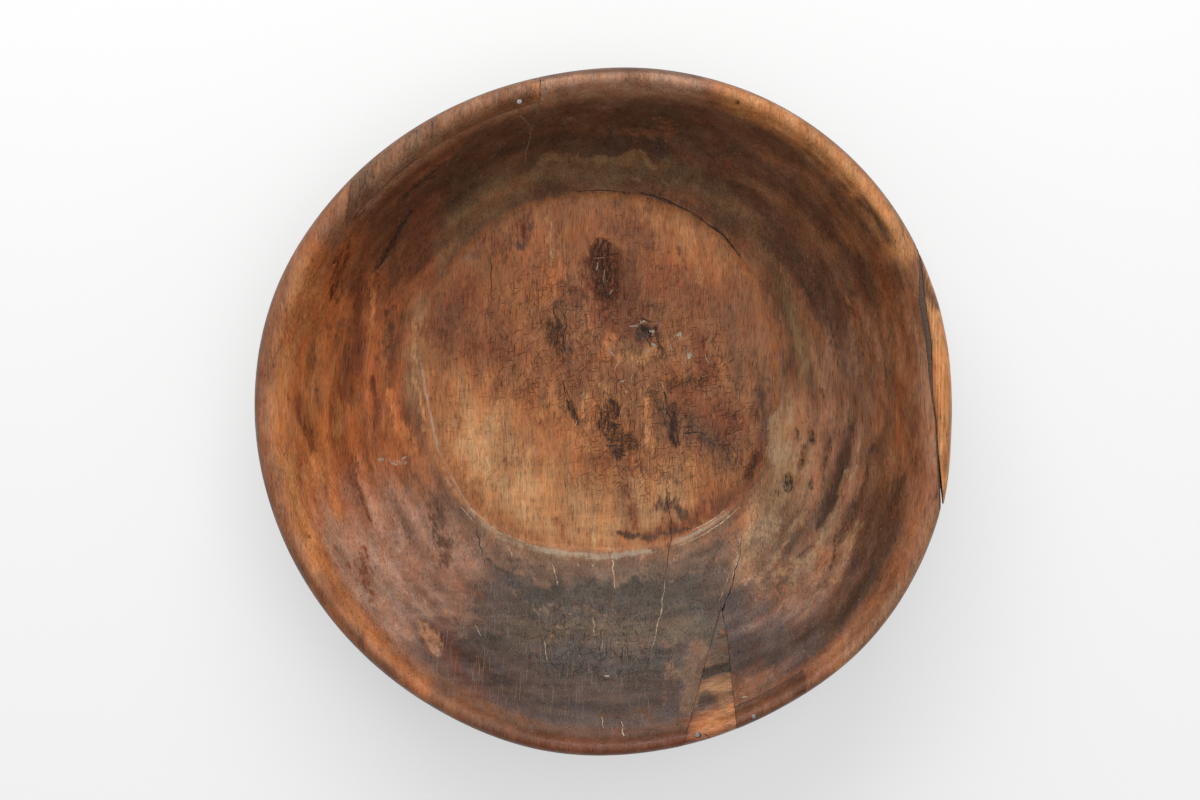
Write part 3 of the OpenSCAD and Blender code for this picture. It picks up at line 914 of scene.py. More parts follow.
def make_wedge(form, cuts, sight, looks):
    piece = sawn_from(form, "crack_wedge_fitted", drawn_in(cuts["wedge"], JOINT_GAP), -OVERRUN,
                      looks["wedge"], WEDGE_SKIN)
    cut_cracks(piece, sight, looks, WEDGE_CRACKS)
    cut(piece, nail_hole("wedge_nail", looks["raw cut"]))
    return piece


def make_strip(form, cuts, looks, side, look):
    piece = sawn_from(form, side + "_rim_strip_fitted", drawn_in(cuts[side], JOINT_GAP), BOWL_H - STRIP_D,
                      looks[look])
    cut(piece, nail_hole(side + "_strip_nail", looks["raw cut"]))
    return shade(piece, WOOD_CREASE)


# Colours, from 0 to 255 as they look
COLOURS = {
    "tan": (158, 101, 58), "light tan": (184, 128, 80), "cream": (198, 153, 108), "orange": (158, 90, 49),
    "bright orange": (186, 117, 68), "red brown": (118, 63, 38), "deep red": (84, 41, 23),
    "umber": (88, 58, 39), "brown": (128, 83, 54), "dark brown": (76, 53, 39), "soot": (30, 22, 18),
    "olive": (118, 90, 60), "grey brown": (112, 87, 68), "beige": (146, 116, 87),
    "purple grey": (84, 68, 64), "pink brown": (164, 128, 110), "slate": (66, 57, 52),
    "outside": (74, 50, 36), "foot": (104, 76, 54), "worn ridge": (124, 86, 56), "iron": (126, 128, 130),
    "worn iron": (172, 168, 162), "pitch": (92, 80, 70), "dust": (190, 172, 150),
    "old wedge": (166, 118, 78), "chestnut": (136, 81, 47), "shadow brown": (58, 40, 30),
    "slate brown": (84, 68, 58), "dusty brown": (160, 121, 94), "joint": (70, 45, 30),
    "glint": (166, 158, 147), "warm brown": (118, 66, 35), "dull tan": (142, 104, 70),
    "strip brown": (106, 66, 46), "bare dust": (200, 178, 150), "pale tan": (182, 134, 90),
    "worn tan": (138, 92, 65), "moss": (92, 78, 56), "dark moss": (58, 48, 34), "old dust": (140, 120, 98),
}


def linear(name):
    c = np.asarray(COLOURS[name], float) / 255
    return np.where(c <= 0.04045, c / 12.92, ((c + 0.055) / 1.055) ** 2.4)


def colour(name):
    return (*[float(v) for v in linear(name)], 1)


# Soft strokes: colour, strength, width and softness in pixels, then the pixels that they run through
WALL_TONES = (
    # upper wall, in shade
    ("dark brown", 0.95, 90, 60, (345, 250), (420, 170), (520, 120), (640, 110), (740, 130), (820, 180),
     (870, 260)),
    ("umber", 0.7, 60, 60, (400, 250), (460, 200), (520, 165), (700, 170), (780, 220), (820, 290)),
    ("umber", 0.7, 50, 50, (470, 150), (560, 128), (660, 132)),
    ("brown", 0.75, 34, 30, (430, 142), (500, 112), (600, 98), (690, 102), (760, 128), (820, 176),
     (864, 236)), ("red brown", 0.6, 44, 40, (372, 212), (346, 262)),
    ("red brown", 0.6, 44, 40, (440, 128), (418, 190), (424, 262)),
    ("chestnut", 0.5, 36, 36, (332, 236), (338, 282)),
    ("umber", 0.5, 12, 12, (446, 270), (476, 232), (520, 208), (560, 198), (620, 196), (680, 208),
     (706, 228)), ("olive", 0.85, 26, 22, (455, 215), (500, 187), (560, 168), (640, 166), (690, 176)),
    ("umber", 0.6, 16, 16, (364, 232), (420, 188), (480, 148), (536, 126)),
    ("olive", 0.5, 16, 16, (700, 185), (740, 215), (776, 262), (800, 330), (806, 380)),
    ("umber", 0.7, 80, 60, (790, 190), (840, 290), (860, 360)),
    ("brown", 0.5, 26, 26, (700, 150), (770, 190), (820, 250)),
    ("grey brown", 0.35, 50, 40, (500, 122), (600, 108), (700, 118)),
    ("umber", 0.55, 26, 30, (640, 116), (700, 124), (750, 142)),
    ("slate brown", 0.36, 64, 56, (430, 160), (520, 120), (640, 106), (740, 122), (812, 172)),
    ("brown", 0.5, 18, 18, (690, 114), (763, 144), (829, 194), (878, 264)),
    ("chestnut", 0.5, 18, 18, (452, 150), (386, 202)), ("dark brown", 0.6, 16, 14, (778, 356), (784, 404)),
    ("dark brown", 0.4, 20, 20, (850, 440), (842, 520)), ("umber", 0.5, 16, 20, (812, 552), (800, 590)),
    ("orange", 0.5, 20, 20, (882, 262), (892, 304)),
    # left wall, bright and warm
    ("orange", 0.9, 80, 60, (335, 260), (325, 340), (330, 420), (345, 500)),
    ("orange", 0.7, 50, 50, (390, 300), (385, 380), (395, 450)),
    # painted light: the bright orange just inside the rim lightens the steep wall there, which the lamps
    # leave in shade
    ("bright orange", 0.8, 24, 28, (320, 256), (308, 340), (308, 420), (324, 500), (352, 560)),
    ("deep red", 0.6, 10, 12, (358, 280), (357, 362)), ("deep red", 0.5, 9, 10, (350, 340), (350, 402)),
    ("umber", 0.3, 22, 26, (316, 330), (338, 318)), ("deep red", 0.5, 8, 12, (299, 398), (312, 440)),
    ("umber", 0.5, 40, 40, (385, 215), (350, 270)),
    ("dull tan", 0.8, 16, 18, (424, 300), (416, 345), (418, 395)),
    ("orange", 0.5, 26, 24, (412, 286), (424, 256)),
    ("olive", 0.6, 22, 20, (446, 252), (480, 215), (510, 200)),
    ("beige", 0.55, 14, 14, (416, 380), (428, 420), (440, 455), (462, 500), (500, 540), (560, 562)),
    ("orange", 0.7, 20, 18, (336, 258), (318, 300), (304, 340)),
    ("umber", 0.5, 18, 20, (316, 360), (318, 402)),
    # lower left, pinkish, with a painted glossy sheen in its pink brown and purple grey
    ("pink brown", 0.75, 90, 70, (360, 530), (400, 590), (450, 640)),
    ("red brown", 0.5, 40, 40, (420, 520), (440, 590)), ("red brown", 0.45, 40, 40, (480, 600), (500, 570)),
    ("pink brown", 0.5, 50, 40, (420, 520), (470, 560)), ("chestnut", 0.5, 30, 34, (418, 580), (470, 590)),
    ("purple grey", 0.55, 50, 50, (420, 610), (460, 640)),
    ("pink brown", 0.5, 26, 24, (344, 566), (362, 592), (398, 636)),
    ("pink brown", 0.6, 24, 20, (424, 624), (446, 640)), ("orange", 0.5, 26, 26, (336, 500), (366, 532)),
    ("purple grey", 0.4, 26, 24, (410, 540), (438, 592)),
    ("beige", 0.4, 22, 20, (742, 540), (762, 508), (776, 480)),
    ("slate brown", 0.6, 24, 22, (676, 566), (716, 548)),
    ("umber", 0.4, 60, 50, (560, 150), (640, 140), (700, 150)),
    ("pink brown", 0.22, 70, 60, (850, 360), (850, 480), (800, 620)),
    ("pink brown", 0.3, 80, 60, (380, 560), (440, 630)),
    # bottom, grey and purple brown, out to the rim: dark stain, with the slate and purple grey partly a
    # painted grey-purple reflection
    ("slate", 0.85, 120, 60, (520, 620), (600, 640), (700, 620)),
    ("purple grey", 0.9, 60, 40, (440, 650), (500, 700), (570, 718), (650, 716), (690, 700)),
    ("slate", 0.7, 70, 50, (500, 670), (580, 690), (650, 690)),
    ("purple grey", 0.8, 34, 26, (470, 700), (540, 726), (600, 734), (680, 722)),
    ("red brown", 0.4, 30, 30, (440, 640), (480, 690)),
    ("grey brown", 0.6, 20, 20, (500, 558), (560, 572), (640, 572), (700, 556)),
    ("moss", 0.6, 24, 20, (520, 628), (600, 632), (700, 634)),
    ("grey brown", 0.6, 30, 20, (470, 520), (540, 556), (640, 556), (720, 520)),
    ("dark moss", 0.7, 40, 34, (540, 600), (600, 596), (690, 592)),
    ("dark brown", 0.3, 60, 60, (560, 660), (640, 664)),
    ("purple grey", 0.75, 60, 50, (750, 650), (810, 640), (856, 600)),
    ("pink brown", 0.5, 34, 30, (770, 630), (820, 606), (868, 562)),
    # painted highlight: a pale line along the floor's edge, where light catches it
    ("dull tan", 0.6, 8, 8, (421, 364), (428, 405), (438, 449), (459, 492), (497, 534), (541, 551),
     (600, 556), (673, 543), (726, 508)),
    # right wall; its narrow beige and dark brown streaks are painted light and shade of the tool facets
    ("brown", 0.6, 60, 50, (905, 330), (905, 420), (890, 500)),
    ("beige", 0.65, 34, 34, (782, 415), (788, 470), (772, 530), (745, 560)),
    ("grey brown", 0.5, 40, 40, (806, 520), (780, 570)),
    ("dark brown", 0.7, 12, 14, (850, 425), (842, 470), (822, 515)),
    ("dark brown", 0.6, 12, 14, (880, 440), (866, 500), (838, 545)),
    ("umber", 0.8, 60, 50, (885, 540), (830, 630)), ("purple grey", 0.6, 50, 50, (800, 660), (760, 620)),
    ("dark brown", 0.6, 16, 18, (885, 560), (840, 625)),
    ("umber", 0.6, 26, 26, (915, 500), (890, 570), (850, 630)),
)
FLOOR_TONES = (
    ("pale tan", 0.8, 60, 50, (480, 430), (530, 500), (600, 520), (660, 500)),
    ("cream", 0.45, 30, 34, (472, 436), (486, 462), (516, 494), (560, 520)),
    ("umber", 0.45, 10, 12, (446, 270), (476, 232), (520, 208), (560, 198), (620, 196), (680, 208),
     (706, 228)), ("light tan", 0.35, 46, 40, (540, 230), (640, 215), (690, 250)),
    ("umber", 0.5, 44, 40, (722, 300), (745, 350), (764, 402)),
    ("brown", 0.5, 30, 30, (640, 425), (720, 450)), ("umber", 0.5, 16, 20, (628, 488), (634, 530)),
    ("brown", 0.4, 20, 20, (555, 500), (565, 530)), ("brown", 0.4, 24, 24, (560, 300), (556, 366)),
    ("orange", 0.5, 60, 60, (540, 250), (620, 230), (680, 280)),
    ("warm brown", 0.5, 70, 50, (440, 310), (500, 345), (560, 350)),
    ("warm brown", 0.4, 50, 40, (470, 280), (450, 320)),
    ("brown", 0.5, 110, 60, (600, 330), (640, 360), (690, 400)),
    ("umber", 0.5, 40, 40, (700, 400), (722, 436), (764, 440)),
    ("brown", 0.4, 40, 40, (760, 300), (775, 380)),
    ("warm brown", 0.5, 22, 22, (745, 480), (715, 505), (675, 525), (650, 538)),
    ("deep red", 0.7, 12, 14, (768, 424), (760, 458), (746, 484), (724, 506)),
    ("umber", 0.5, 60, 60, (614, 270), (634, 318)), ("pale tan", 0.5, 20, 24, (458, 380), (472, 420)),
    ("umber", 0.5, 24, 24, (660, 400), (730, 446)),
)
RIM_TONES = (
    ("light tan", 0.9, 30, 26, (735, 95), (800, 130), (860, 190), (900, 250)),
    ("dusty brown", 0.85, 30, 22, (364, 196), (400, 158), (470, 110), (560, 85), (690, 88)),
    ("bright orange", 0.85, 24, 20, (318, 255), (300, 300), (286, 360), (282, 430), (296, 500), (330, 580)),
    ("brown", 0.5, 14, 14, (276, 330), (268, 380)),
    ("light tan", 0.4, 16, 16, (304, 270), (284, 350), (282, 440), (298, 510)),
    ("pink brown", 0.4, 22, 18, (400, 150), (470, 108), (560, 84), (690, 86)),
    ("bright orange", 0.6, 20, 20, (340, 600), (390, 655), (425, 690)),
    ("brown", 0.8, 40, 30, (450, 705), (520, 735)),
    ("umber", 0.8, 26, 24, (530, 736), (610, 744), (690, 736)),
    ("red brown", 0.6, 12, 12, (530, 748), (610, 755), (690, 748)),
    ("light tan", 0.5, 10, 8, (941, 504), (922, 560), (882, 626), (836, 672)),
    ("dusty brown", 0.5, 14, 12, (916, 330), (924, 365), (930, 410), (934, 460)),
    ("light tan", 0.6, 14, 12, (288, 470), (294, 512), (306, 544)),
    ("light tan", 0.5, 14, 12, (730, 106), (768, 126), (806, 152)),
    ("bright orange", 0.6, 8, 8, (312, 585), (340, 626), (370, 655)),
    ("dusty brown", 0.5, 14, 12, (836, 650), (884, 600)),
    ("slate brown", 0.55, 16, 14, (440, 680), (449, 688), (523, 722), (604, 735), (680, 730)),
    ("worn tan", 0.7, 10, 10, (322, 576), (340, 604)),
    ("purple grey", 0.4, 12, 12, (386, 640), (420, 668), (450, 690)),
    ("purple grey", 0.45, 12, 10, (745, 704), (768, 692), (800, 676)),
    ("dusty brown", 0.6, 10, 8, (938, 504), (905, 586), (850, 655)),
    ("orange", 0.5, 14, 14, (322, 252), (300, 312), (290, 338)),
    ("shadow brown", 0.85, 6, 6, (838, 182), (849, 190)),
    ("shadow brown", 0.85, 8, 7, (859, 201), (875, 217), (888, 241)),
    ("dark brown", 0.75, 6, 7, (896, 262), (904, 287)), ("dark brown", 0.6, 5, 6, (806, 150), (828, 170)),
    ("purple grey", 0.25, 20, 16, (470, 722), (560, 742), (640, 744)),
    ("red brown", 0.5, 18, 14, (500, 736), (560, 747), (640, 749), (690, 741)),
    ("brown", 0.5, 16, 14, (927, 512), (902, 568), (864, 626)),
    ("brown", 0.6, 10, 12, (905, 520), (885, 570), (850, 620)),
    ("shadow brown", 0.8, 6, 7, (352, 188), (400, 142), (470, 94), (560, 72), (640, 68), (700, 76)),
    ("umber", 0.7, 8, 9, (300, 566), (340, 622), (392, 674)),
)
SEGMENT_TONES = (
    ("umber", 0.8, 10, 8, (919, 262), (926, 290), (938, 305)),
    ("red brown", 0.6, 6, 6, (927, 320), (933, 380), (938, 440)),
)
WEDGE_TONES = (
    ("old wedge", 0.4, 30, 30, (722, 640), (712, 690)),
    ("slate brown", 0.85, 40, 10, (729, 594), (722, 645)), ("tan", 0.7, 3, 3, (721, 632), (723, 633)),
    ("soot", 0.9, 11, 5, (704, 673), (734, 666)), ("dull tan", 0.7, 10, 5, (704, 690), (736, 683)),
    ("bright orange", 0.3, 26, 14, (700, 726), (738, 716)),
    ("light tan", 0.3, 20, 14, (712, 722), (736, 712)), ("dull tan", 0.5, 10, 8, (724, 690), (722, 706)),
    ("shadow brown", 0.8, 13, 7, (688, 716), (698, 702), (706, 696)),
    ("shadow brown", 0.8, 9, 7, (696, 706), (714, 700)), ("umber", 0.7, 8, 6, (712, 650), (730, 648)),
    ("umber", 0.6, 5, 5, (718, 694), (738, 692)), ("brown", 0.5, 8, 8, (690, 724), (700, 712)),
)
LOWER_STRIP_TONES = (
    ("dark brown", 0.6, 7, 6, (738, 700), (768, 694), (802, 676)),
    ("umber", 0.5, 6, 5, (802, 680), (806, 694)), ("umber", 0.7, 12, 10, (734, 708), (752, 702)),
    ("brown", 0.5, 10, 10, (745, 716), (790, 698)),
)
UPPER_STRIP_TONES = (
    ("brown", 0.5, 40, 20, (350, 205), (410, 155), (470, 118), (530, 95)),
    ("dusty brown", 0.35, 12, 12, (376, 182), (410, 150), (470, 108), (530, 88)),
    ("umber", 0.7, 8, 7, (350, 182), (346, 216)), ("bright orange", 0.7, 6, 5, (538, 86), (537, 106)),
    ("brown", 0.6, 30, 30, (520, 100), (450, 125)),
    ("umber", 0.5, 8, 8, (362, 214), (410, 170), (470, 128), (520, 112)),
)
# Patches whose edges break up into fibres, laid over the soft strokes
PATCHES = (
    # floor
    ("warm brown", 0.5, 46, 44, (434, 334), (474, 348), (520, 352)),
    ("warm brown", 0.6, 30, 30, (470, 285), (452, 315)),
    ("warm brown", 0.7, 60, 34, (604, 262), (620, 310)),
    ("dark brown", 0.6, 30, 24, (604, 266), (618, 300)),
    ("dark brown", 0.6, 24, 22, (622, 312), (650, 334)), ("light tan", 0.6, 16, 16, (650, 400), (652, 440)),
    ("light tan", 0.5, 14, 16, (586, 400), (588, 450)), ("warm brown", 0.6, 40, 40, (690, 395), (730, 430)),
    ("umber", 0.6, 14, 16, (764, 390), (770, 440)),
    ("warm brown", 0.6, 20, 20, (738, 488), (690, 522), (650, 535)),
    ("cream", 0.55, 22, 26, (476, 444), (492, 470), (520, 500)),
    ("light tan", 0.6, 26, 30, (545, 480), (560, 510)), ("brown", 0.65, 30, 36, (725, 310), (740, 380)),
    ("warm brown", 0.6, 14, 20, (628, 490), (636, 532)), ("chestnut", 0.5, 30, 34, (500, 392), (540, 404)),
    ("chestnut", 0.7, 40, 40, (660, 280), (690, 300)), ("chestnut", 0.65, 30, 40, (600, 215), (650, 240)),
    ("light tan", 0.55, 20, 24, (640, 212), (690, 236)),
    ("warm brown", 0.7, 24, 30, (700, 330), (712, 380)),
    ("bright orange", 0.5, 30, 30, (560, 265), (540, 300)),
    ("chestnut", 0.6, 30, 30, (600, 460), (640, 470)), ("light tan", 0.6, 16, 20, (690, 460), (694, 500)),
    ("umber", 0.6, 20, 20, (660, 500), (690, 514)), ("cream", 0.5, 14, 16, (590, 500), (592, 540)),
    ("warm brown", 0.5, 30, 24, (500, 250), (526, 216)), ("light tan", 0.6, 20, 24, (620, 352), (652, 356)),
    ("chestnut", 0.5, 10, 12, (626, 536), (652, 532)), ("warm brown", 0.6, 9, 10, (668, 526), (692, 514)),
    ("chestnut", 0.6, 16, 24, (560, 520), (566, 540)), ("warm brown", 0.5, 12, 12, (462, 262), (486, 240)),
    ("dusty brown", 0.5, 12, 14, (640, 556), (676, 552)),
    ("bare dust", 0.35, 6, 7, (588, 555), (622, 557), (660, 550)),
    ("chestnut", 0.5, 14, 20, (720, 400), (738, 460)), ("warm brown", 0.6, 12, 14, (574, 286), (582, 308)),
    ("bright orange", 0.4, 12, 14, (592, 312), (592, 334)),
    ("warm brown", 0.6, 14, 18, (524, 392), (540, 420)), ("umber", 0.5, 12, 14, (648, 300), (664, 322)),
    ("warm brown", 0.5, 12, 16, (740, 300), (748, 350)),
    ("bright orange", 0.5, 14, 16, (612, 336), (596, 372)),
    ("pale tan", 0.5, 12, 14, (690, 250), (700, 290)), ("warm brown", 0.6, 10, 12, (676, 254), (688, 300)),
    ("bright orange", 0.4, 16, 18, (446, 320), (456, 350)),
    ("light tan", 0.5, 14, 16, (486, 372), (496, 402)),
    ("umber", 0.7, 8, 8, (622, 540), (660, 534), (692, 520)),
    ("umber", 0.6, 12, 14, (532, 220), (520, 246)), ("umber", 0.6, 16, 14, (692, 430), (712, 446)),
    ("umber", 0.5, 12, 14, (656, 474), (676, 488)), ("dark brown", 0.5, 10, 12, (768, 372), (776, 408)),
    ("grey brown", 0.5, 12, 14, (726, 520), (740, 550)), ("light tan", 0.4, 30, 30, (600, 384), (640, 392)),
    ("light tan", 0.45, 18, 22, (556, 236), (562, 266)), ("tan", 0.5, 14, 18, (618, 222), (622, 244)),
    ("tan", 0.5, 12, 14, (530, 290), (532, 316)), ("cream", 0.5, 14, 20, (548, 224), (552, 262)),
    ("umber", 0.5, 14, 20, (488, 300), (494, 330)), ("umber", 0.4, 20, 22, (694, 442), (714, 450)),
    ("umber", 0.5, 26, 24, (556, 300), (566, 345)), ("dark brown", 0.6, 10, 12, (662, 404), (672, 444)),
    ("pale tan", 0.6, 20, 26, (488, 420), (520, 452)),
    # upper wall
    ("umber", 0.6, 40, 40, (430, 185), (510, 135), (620, 118)),
    ("brown", 0.55, 26, 34, (620, 135), (670, 130)), ("dark brown", 0.65, 30, 40, (590, 148), (664, 144)),
    ("brown", 0.55, 18, 22, (520, 182), (440, 240)), ("umber", 0.6, 30, 40, (768, 226), (786, 262)),
    ("olive", 0.75, 14, 16, (540, 160), (640, 156), (668, 164)),
    ("umber", 0.6, 26, 30, (560, 120), (600, 116)), ("shadow brown", 0.6, 26, 30, (400, 200), (440, 170)),
    ("shadow brown", 0.3, 20, 24, (716, 120), (770, 142)),
    ("olive", 0.6, 8, 10, (520, 178), (600, 172), (680, 182)),
    ("dull tan", 0.45, 14, 14, (484, 215), (456, 242), (440, 262)),
    ("brown", 0.6, 20, 24, (850, 300), (870, 360)),
    # left wall
    ("umber", 0.45, 18, 24, (322, 328), (342, 320)), ("orange", 0.6, 16, 18, (300, 330), (294, 386)),
    ("red brown", 0.7, 14, 16, (358, 296), (356, 366)), ("red brown", 0.65, 14, 16, (372, 380), (376, 440)),
    ("red brown", 0.6, 12, 14, (296, 396), (312, 442)), ("umber", 0.55, 16, 18, (390, 310), (384, 360)),
    ("deep red", 0.5, 20, 20, (345, 245), (330, 300)),
    ("bright orange", 0.6, 14, 16, (322, 450), (340, 520)),
    ("bright orange", 0.6, 20, 20, (395, 400), (410, 450)),
    ("pale tan", 0.6, 8, 10, (416, 322), (416, 380), (424, 430)),
    ("umber", 0.5, 7, 8, (402, 300), (400, 360)), ("grey brown", 0.5, 12, 14, (456, 268), (474, 254)),
    ("bright orange", 0.6, 10, 14, (372, 280), (368, 350)), ("tan", 0.6, 12, 14, (334, 360), (336, 430)),
    ("red brown", 0.6, 10, 12, (352, 470), (372, 530)),
    # lower left and bottom; purple grey, pink brown and slate here are partly a painted glossy reflection
    ("chestnut", 0.3, 22, 20, (452, 604), (482, 592)), ("dull tan", 0.5, 22, 26, (430, 616), (446, 606)),
    ("umber", 0.6, 18, 22, (432, 505), (450, 560)), ("pink brown", 0.4, 30, 30, (395, 560), (420, 620)),
    ("red brown", 0.5, 30, 30, (360, 560), (375, 600)), ("slate", 0.6, 30, 34, (470, 640), (500, 640)),
    ("moss", 0.5, 10, 14, (585, 614), (700, 608)), ("dark moss", 0.6, 18, 24, (545, 594), (640, 590)),
    ("moss", 0.6, 10, 14, (530, 628), (610, 633), (690, 632)),
    ("grey brown", 0.6, 10, 14, (600, 562), (650, 570)), ("slate", 0.65, 40, 44, (550, 660), (660, 664)),
    ("purple grey", 0.5, 34, 36, (500, 664), (560, 690), (650, 690)),
    ("dark moss", 0.7, 12, 14, (556, 590), (620, 584), (660, 590)),
    ("umber", 0.5, 8, 10, (480, 570), (530, 584)), ("grey brown", 0.7, 8, 10, (488, 556), (520, 578)),
    ("grey brown", 0.7, 7, 8, (596, 574), (650, 580)), ("grey brown", 0.6, 20, 20, (670, 660), (690, 690)),
    ("dark brown", 0.7, 12, 16, (715, 560), (700, 590)),
    ("grey brown", 0.7, 8, 9, (474, 548), (516, 566), (548, 588)),
    ("grey brown", 0.6, 7, 10, (640, 582), (706, 572)), ("grey brown", 0.6, 8, 12, (540, 612), (620, 606)),
    ("grey brown", 0.5, 5, 8, (556, 648), (602, 652)), ("grey brown", 0.5, 6, 9, (640, 646), (690, 640)),
    ("grey brown", 0.5, 6, 9, (480, 662), (520, 676)), ("grey brown", 0.6, 9, 12, (672, 672), (664, 706)),
    ("dark moss", 0.6, 7, 9, (600, 620), (660, 616)), ("dark moss", 0.6, 7, 8, (486, 560), (540, 604)),
    ("grey brown", 0.6, 6, 8, (506, 596), (560, 612)), ("dusty brown", 0.6, 9, 10, (744, 584), (786, 556)),
    ("grey brown", 0.6, 9, 9, (700, 562), (722, 548)),
    ("slate brown", 0.65, 20, 24, (500, 690), (560, 712)), ("umber", 0.6, 16, 20, (600, 716), (660, 712)),
    ("purple grey", 0.6, 22, 24, (470, 672), (510, 696)),
    ("purple grey", 0.35, 24, 26, (392, 520), (412, 560)),
    ("dusty brown", 0.6, 20, 18, (424, 632), (438, 646)), ("chestnut", 0.5, 14, 12, (474, 601), (484, 598)),
    ("bright orange", 0.5, 10, 12, (404, 440), (400, 490)),
    ("bright orange", 0.6, 10, 12, (346, 206), (332, 232), (322, 256)),
    ("umber", 0.5, 10, 12, (312, 330), (316, 400)), ("umber", 0.5, 10, 12, (440, 620), (470, 610)),
    ("umber", 0.4, 16, 18, (424, 640), (450, 664)), ("pink brown", 0.5, 12, 14, (400, 600), (428, 604)),
    ("purple grey", 0.6, 12, 16, (600, 690), (660, 696)), ("slate", 0.6, 12, 16, (560, 604), (640, 600)),
    ("purple grey", 0.5, 14, 18, (520, 660), (580, 668)),
    ("grey brown", 0.65, 22, 18, (700, 648), (688, 706)),
    # right wall; the narrow beige and dark brown streaks here are painted light and shade of the tool facets
    ("beige", 0.75, 24, 26, (778, 418), (784, 470), (766, 530)),
    ("beige", 0.65, 12, 16, (796, 520), (770, 566)), ("beige", 0.6, 12, 16, (760, 520), (736, 560)),
    ("beige", 0.6, 10, 14, (838, 520), (812, 566)),
    ("dark brown", 0.75, 11, 14, (850, 425), (842, 470), (820, 518)),
    ("dark brown", 0.6, 10, 14, (876, 450), (862, 500), (836, 545)),
    ("umber", 0.6, 20, 24, (760, 400), (770, 440)), ("beige", 0.5, 8, 10, (862, 430), (852, 480)),
    ("dark brown", 0.6, 12, 16, (886, 560), (850, 612)), ("umber", 0.65, 14, 16, (900, 470), (890, 530)),
    ("chestnut", 0.6, 20, 18, (900, 390), (902, 440)), ("brown", 0.6, 12, 14, (800, 290), (822, 350)),
    ("dark brown", 0.5, 12, 14, (816, 285), (838, 360)), ("beige", 0.55, 14, 16, (760, 590), (800, 560)),
    ("beige", 0.5, 6, 8, (850, 540), (826, 580)), ("dark brown", 0.55, 8, 10, (860, 580), (832, 616)),
    ("olive", 0.6, 12, 14, (786, 300), (806, 370)), ("umber", 0.6, 10, 12, (830, 440), (824, 490)),
    ("beige", 0.75, 7, 9, (846, 470), (826, 530), (790, 580)),
    ("beige", 0.6, 6, 8, (868, 516), (840, 570), (806, 606)),
    ("dark brown", 0.6, 6, 9, (828, 500), (806, 548), (776, 590)),
    ("beige", 0.65, 6, 8, (812, 440), (806, 500), (780, 556)),
    ("dark brown", 0.5, 5, 8, (798, 430), (796, 480)),
    ("umber", 0.6, 8, 10, (870, 470), (856, 520), (826, 568)),
    ("slate brown", 0.6, 20, 24, (770, 640), (810, 650)),
)
# Where short pale scratches lie: strength, width and softness in pixels, then the pixels
SCRATCHED = (
    (0.95, 30, 36, (530, 632), (600, 648), (650, 640)), (0.6, 110, 80, (490, 640), (600, 670), (660, 660)),
    (0.5, 60, 50, (500, 690), (640, 710)), (0.5, 90, 80, (380, 560), (440, 640)),
    (0.4, 90, 80, (500, 560), (700, 590)), (0.3, 120, 80, (480, 450), (640, 500)),
    (0.3, 120, 80, (620, 260), (680, 340)), (0.35, 60, 60, (470, 230), (410, 350)),
    (0.3, 60, 60, (800, 420), (800, 560)),
)
# Stains, pale places and knife cuts: strength, width and softness in pixels, then the pixels. The pale places
# are partly wear and partly painted highlight along the floor's edge and on a streak at the upper left
STAINS = (
    (1.0, 18, 12, (601, 246), (600, 264), (605, 292)), (0.7, 38, 26, (603, 264), (608, 288)),
    (0.42, 10, 18, (553, 306), (560, 335), (566, 362)), (0.6, 24, 22, (552, 326), (560, 354)),
    (0.5, 12, 14, (575, 290), (590, 300)), (0.45, 14, 18, (516, 220), (524, 236)),
    (0.5, 8, 12, (630, 500), (634, 528)), (0.5, 4, 9, (554, 372), (566, 398)),
    (0.85, 8, 9, (570, 404), (577, 422)), (1.0, 16, 12, (612, 408), (611, 430), (618, 452)),
    (0.8, 18, 16, (603, 425), (630, 444)), (0.8, 9, 10, (673, 406), (675, 444)),
    (0.6, 16, 20, (702, 380), (670, 384)), (0.5, 12, 14, (652, 396), (658, 410)),
    (0.4, 14, 20, (712, 452), (700, 440)), (0.55, 12, 16, (645, 328), (660, 336)),
    # The thin dark line along the floor's upper edge is a stain and partly painted shadow of the floor's step
    (0.7, 3, 4, (577, 192), (610, 192), (650, 195), (690, 212), (722, 234), (740, 256)),
    (0.6, 12, 12, (756, 455), (748, 476)), (0.45, 6, 8, (718, 500), (722, 492)),
    (0.85, 12, 10, (788, 478), (789, 488)), (0.7, 9, 10, (804, 448), (800, 468)),
    (0.75, 7, 9, (810, 480), (811, 488)), (0.8, 7, 7, (810, 432), (812, 442)),
    (0.6, 8, 9, (796, 430), (800, 440)), (0.8, 4, 4, (735, 104), (739, 102)),
    (0.7, 5, 6, (822, 390), (824, 404)), (0.5, 6, 8, (286, 392), (310, 436)),
    (0.8, 4, 4, (309, 537), (311, 538)), (0.7, 3, 4, (345, 489), (346, 491)),
    (0.6, 3, 4, (341, 522), (343, 523)), (0.75, 6, 6, (410, 211), (394, 240), (378, 268)),
    (0.6, 3, 4, (344, 224), (362, 214), (384, 188), (398, 178)), (0.6, 4, 5, (665, 728), (667, 734)),
    (0.7, 9, 9, (640, 326), (650, 334)), (0.6, 6, 8, (658, 344), (664, 356)),
)
PALES = (
    (0.85, 2.4, 2.8, (421, 362), (428, 405), (438, 449)),
    (0.8, 1.8, 2.6, (438, 449), (459, 490), (471, 508), (497, 532), (541, 549), (576, 555)),
    (0.8, 6, 6, (540, 550), (600, 557), (650, 551)),
    (0.45, 5, 5, (446, 478), (470, 512), (500, 538), (540, 552)),
    (0.5, 8, 8, (673, 543), (700, 531), (726, 514)), (0.38, 5, 8, (458, 264), (476, 250), (492, 242)),
    (0.5, 5, 6, (377, 460), (390, 461), (406, 463)),
)
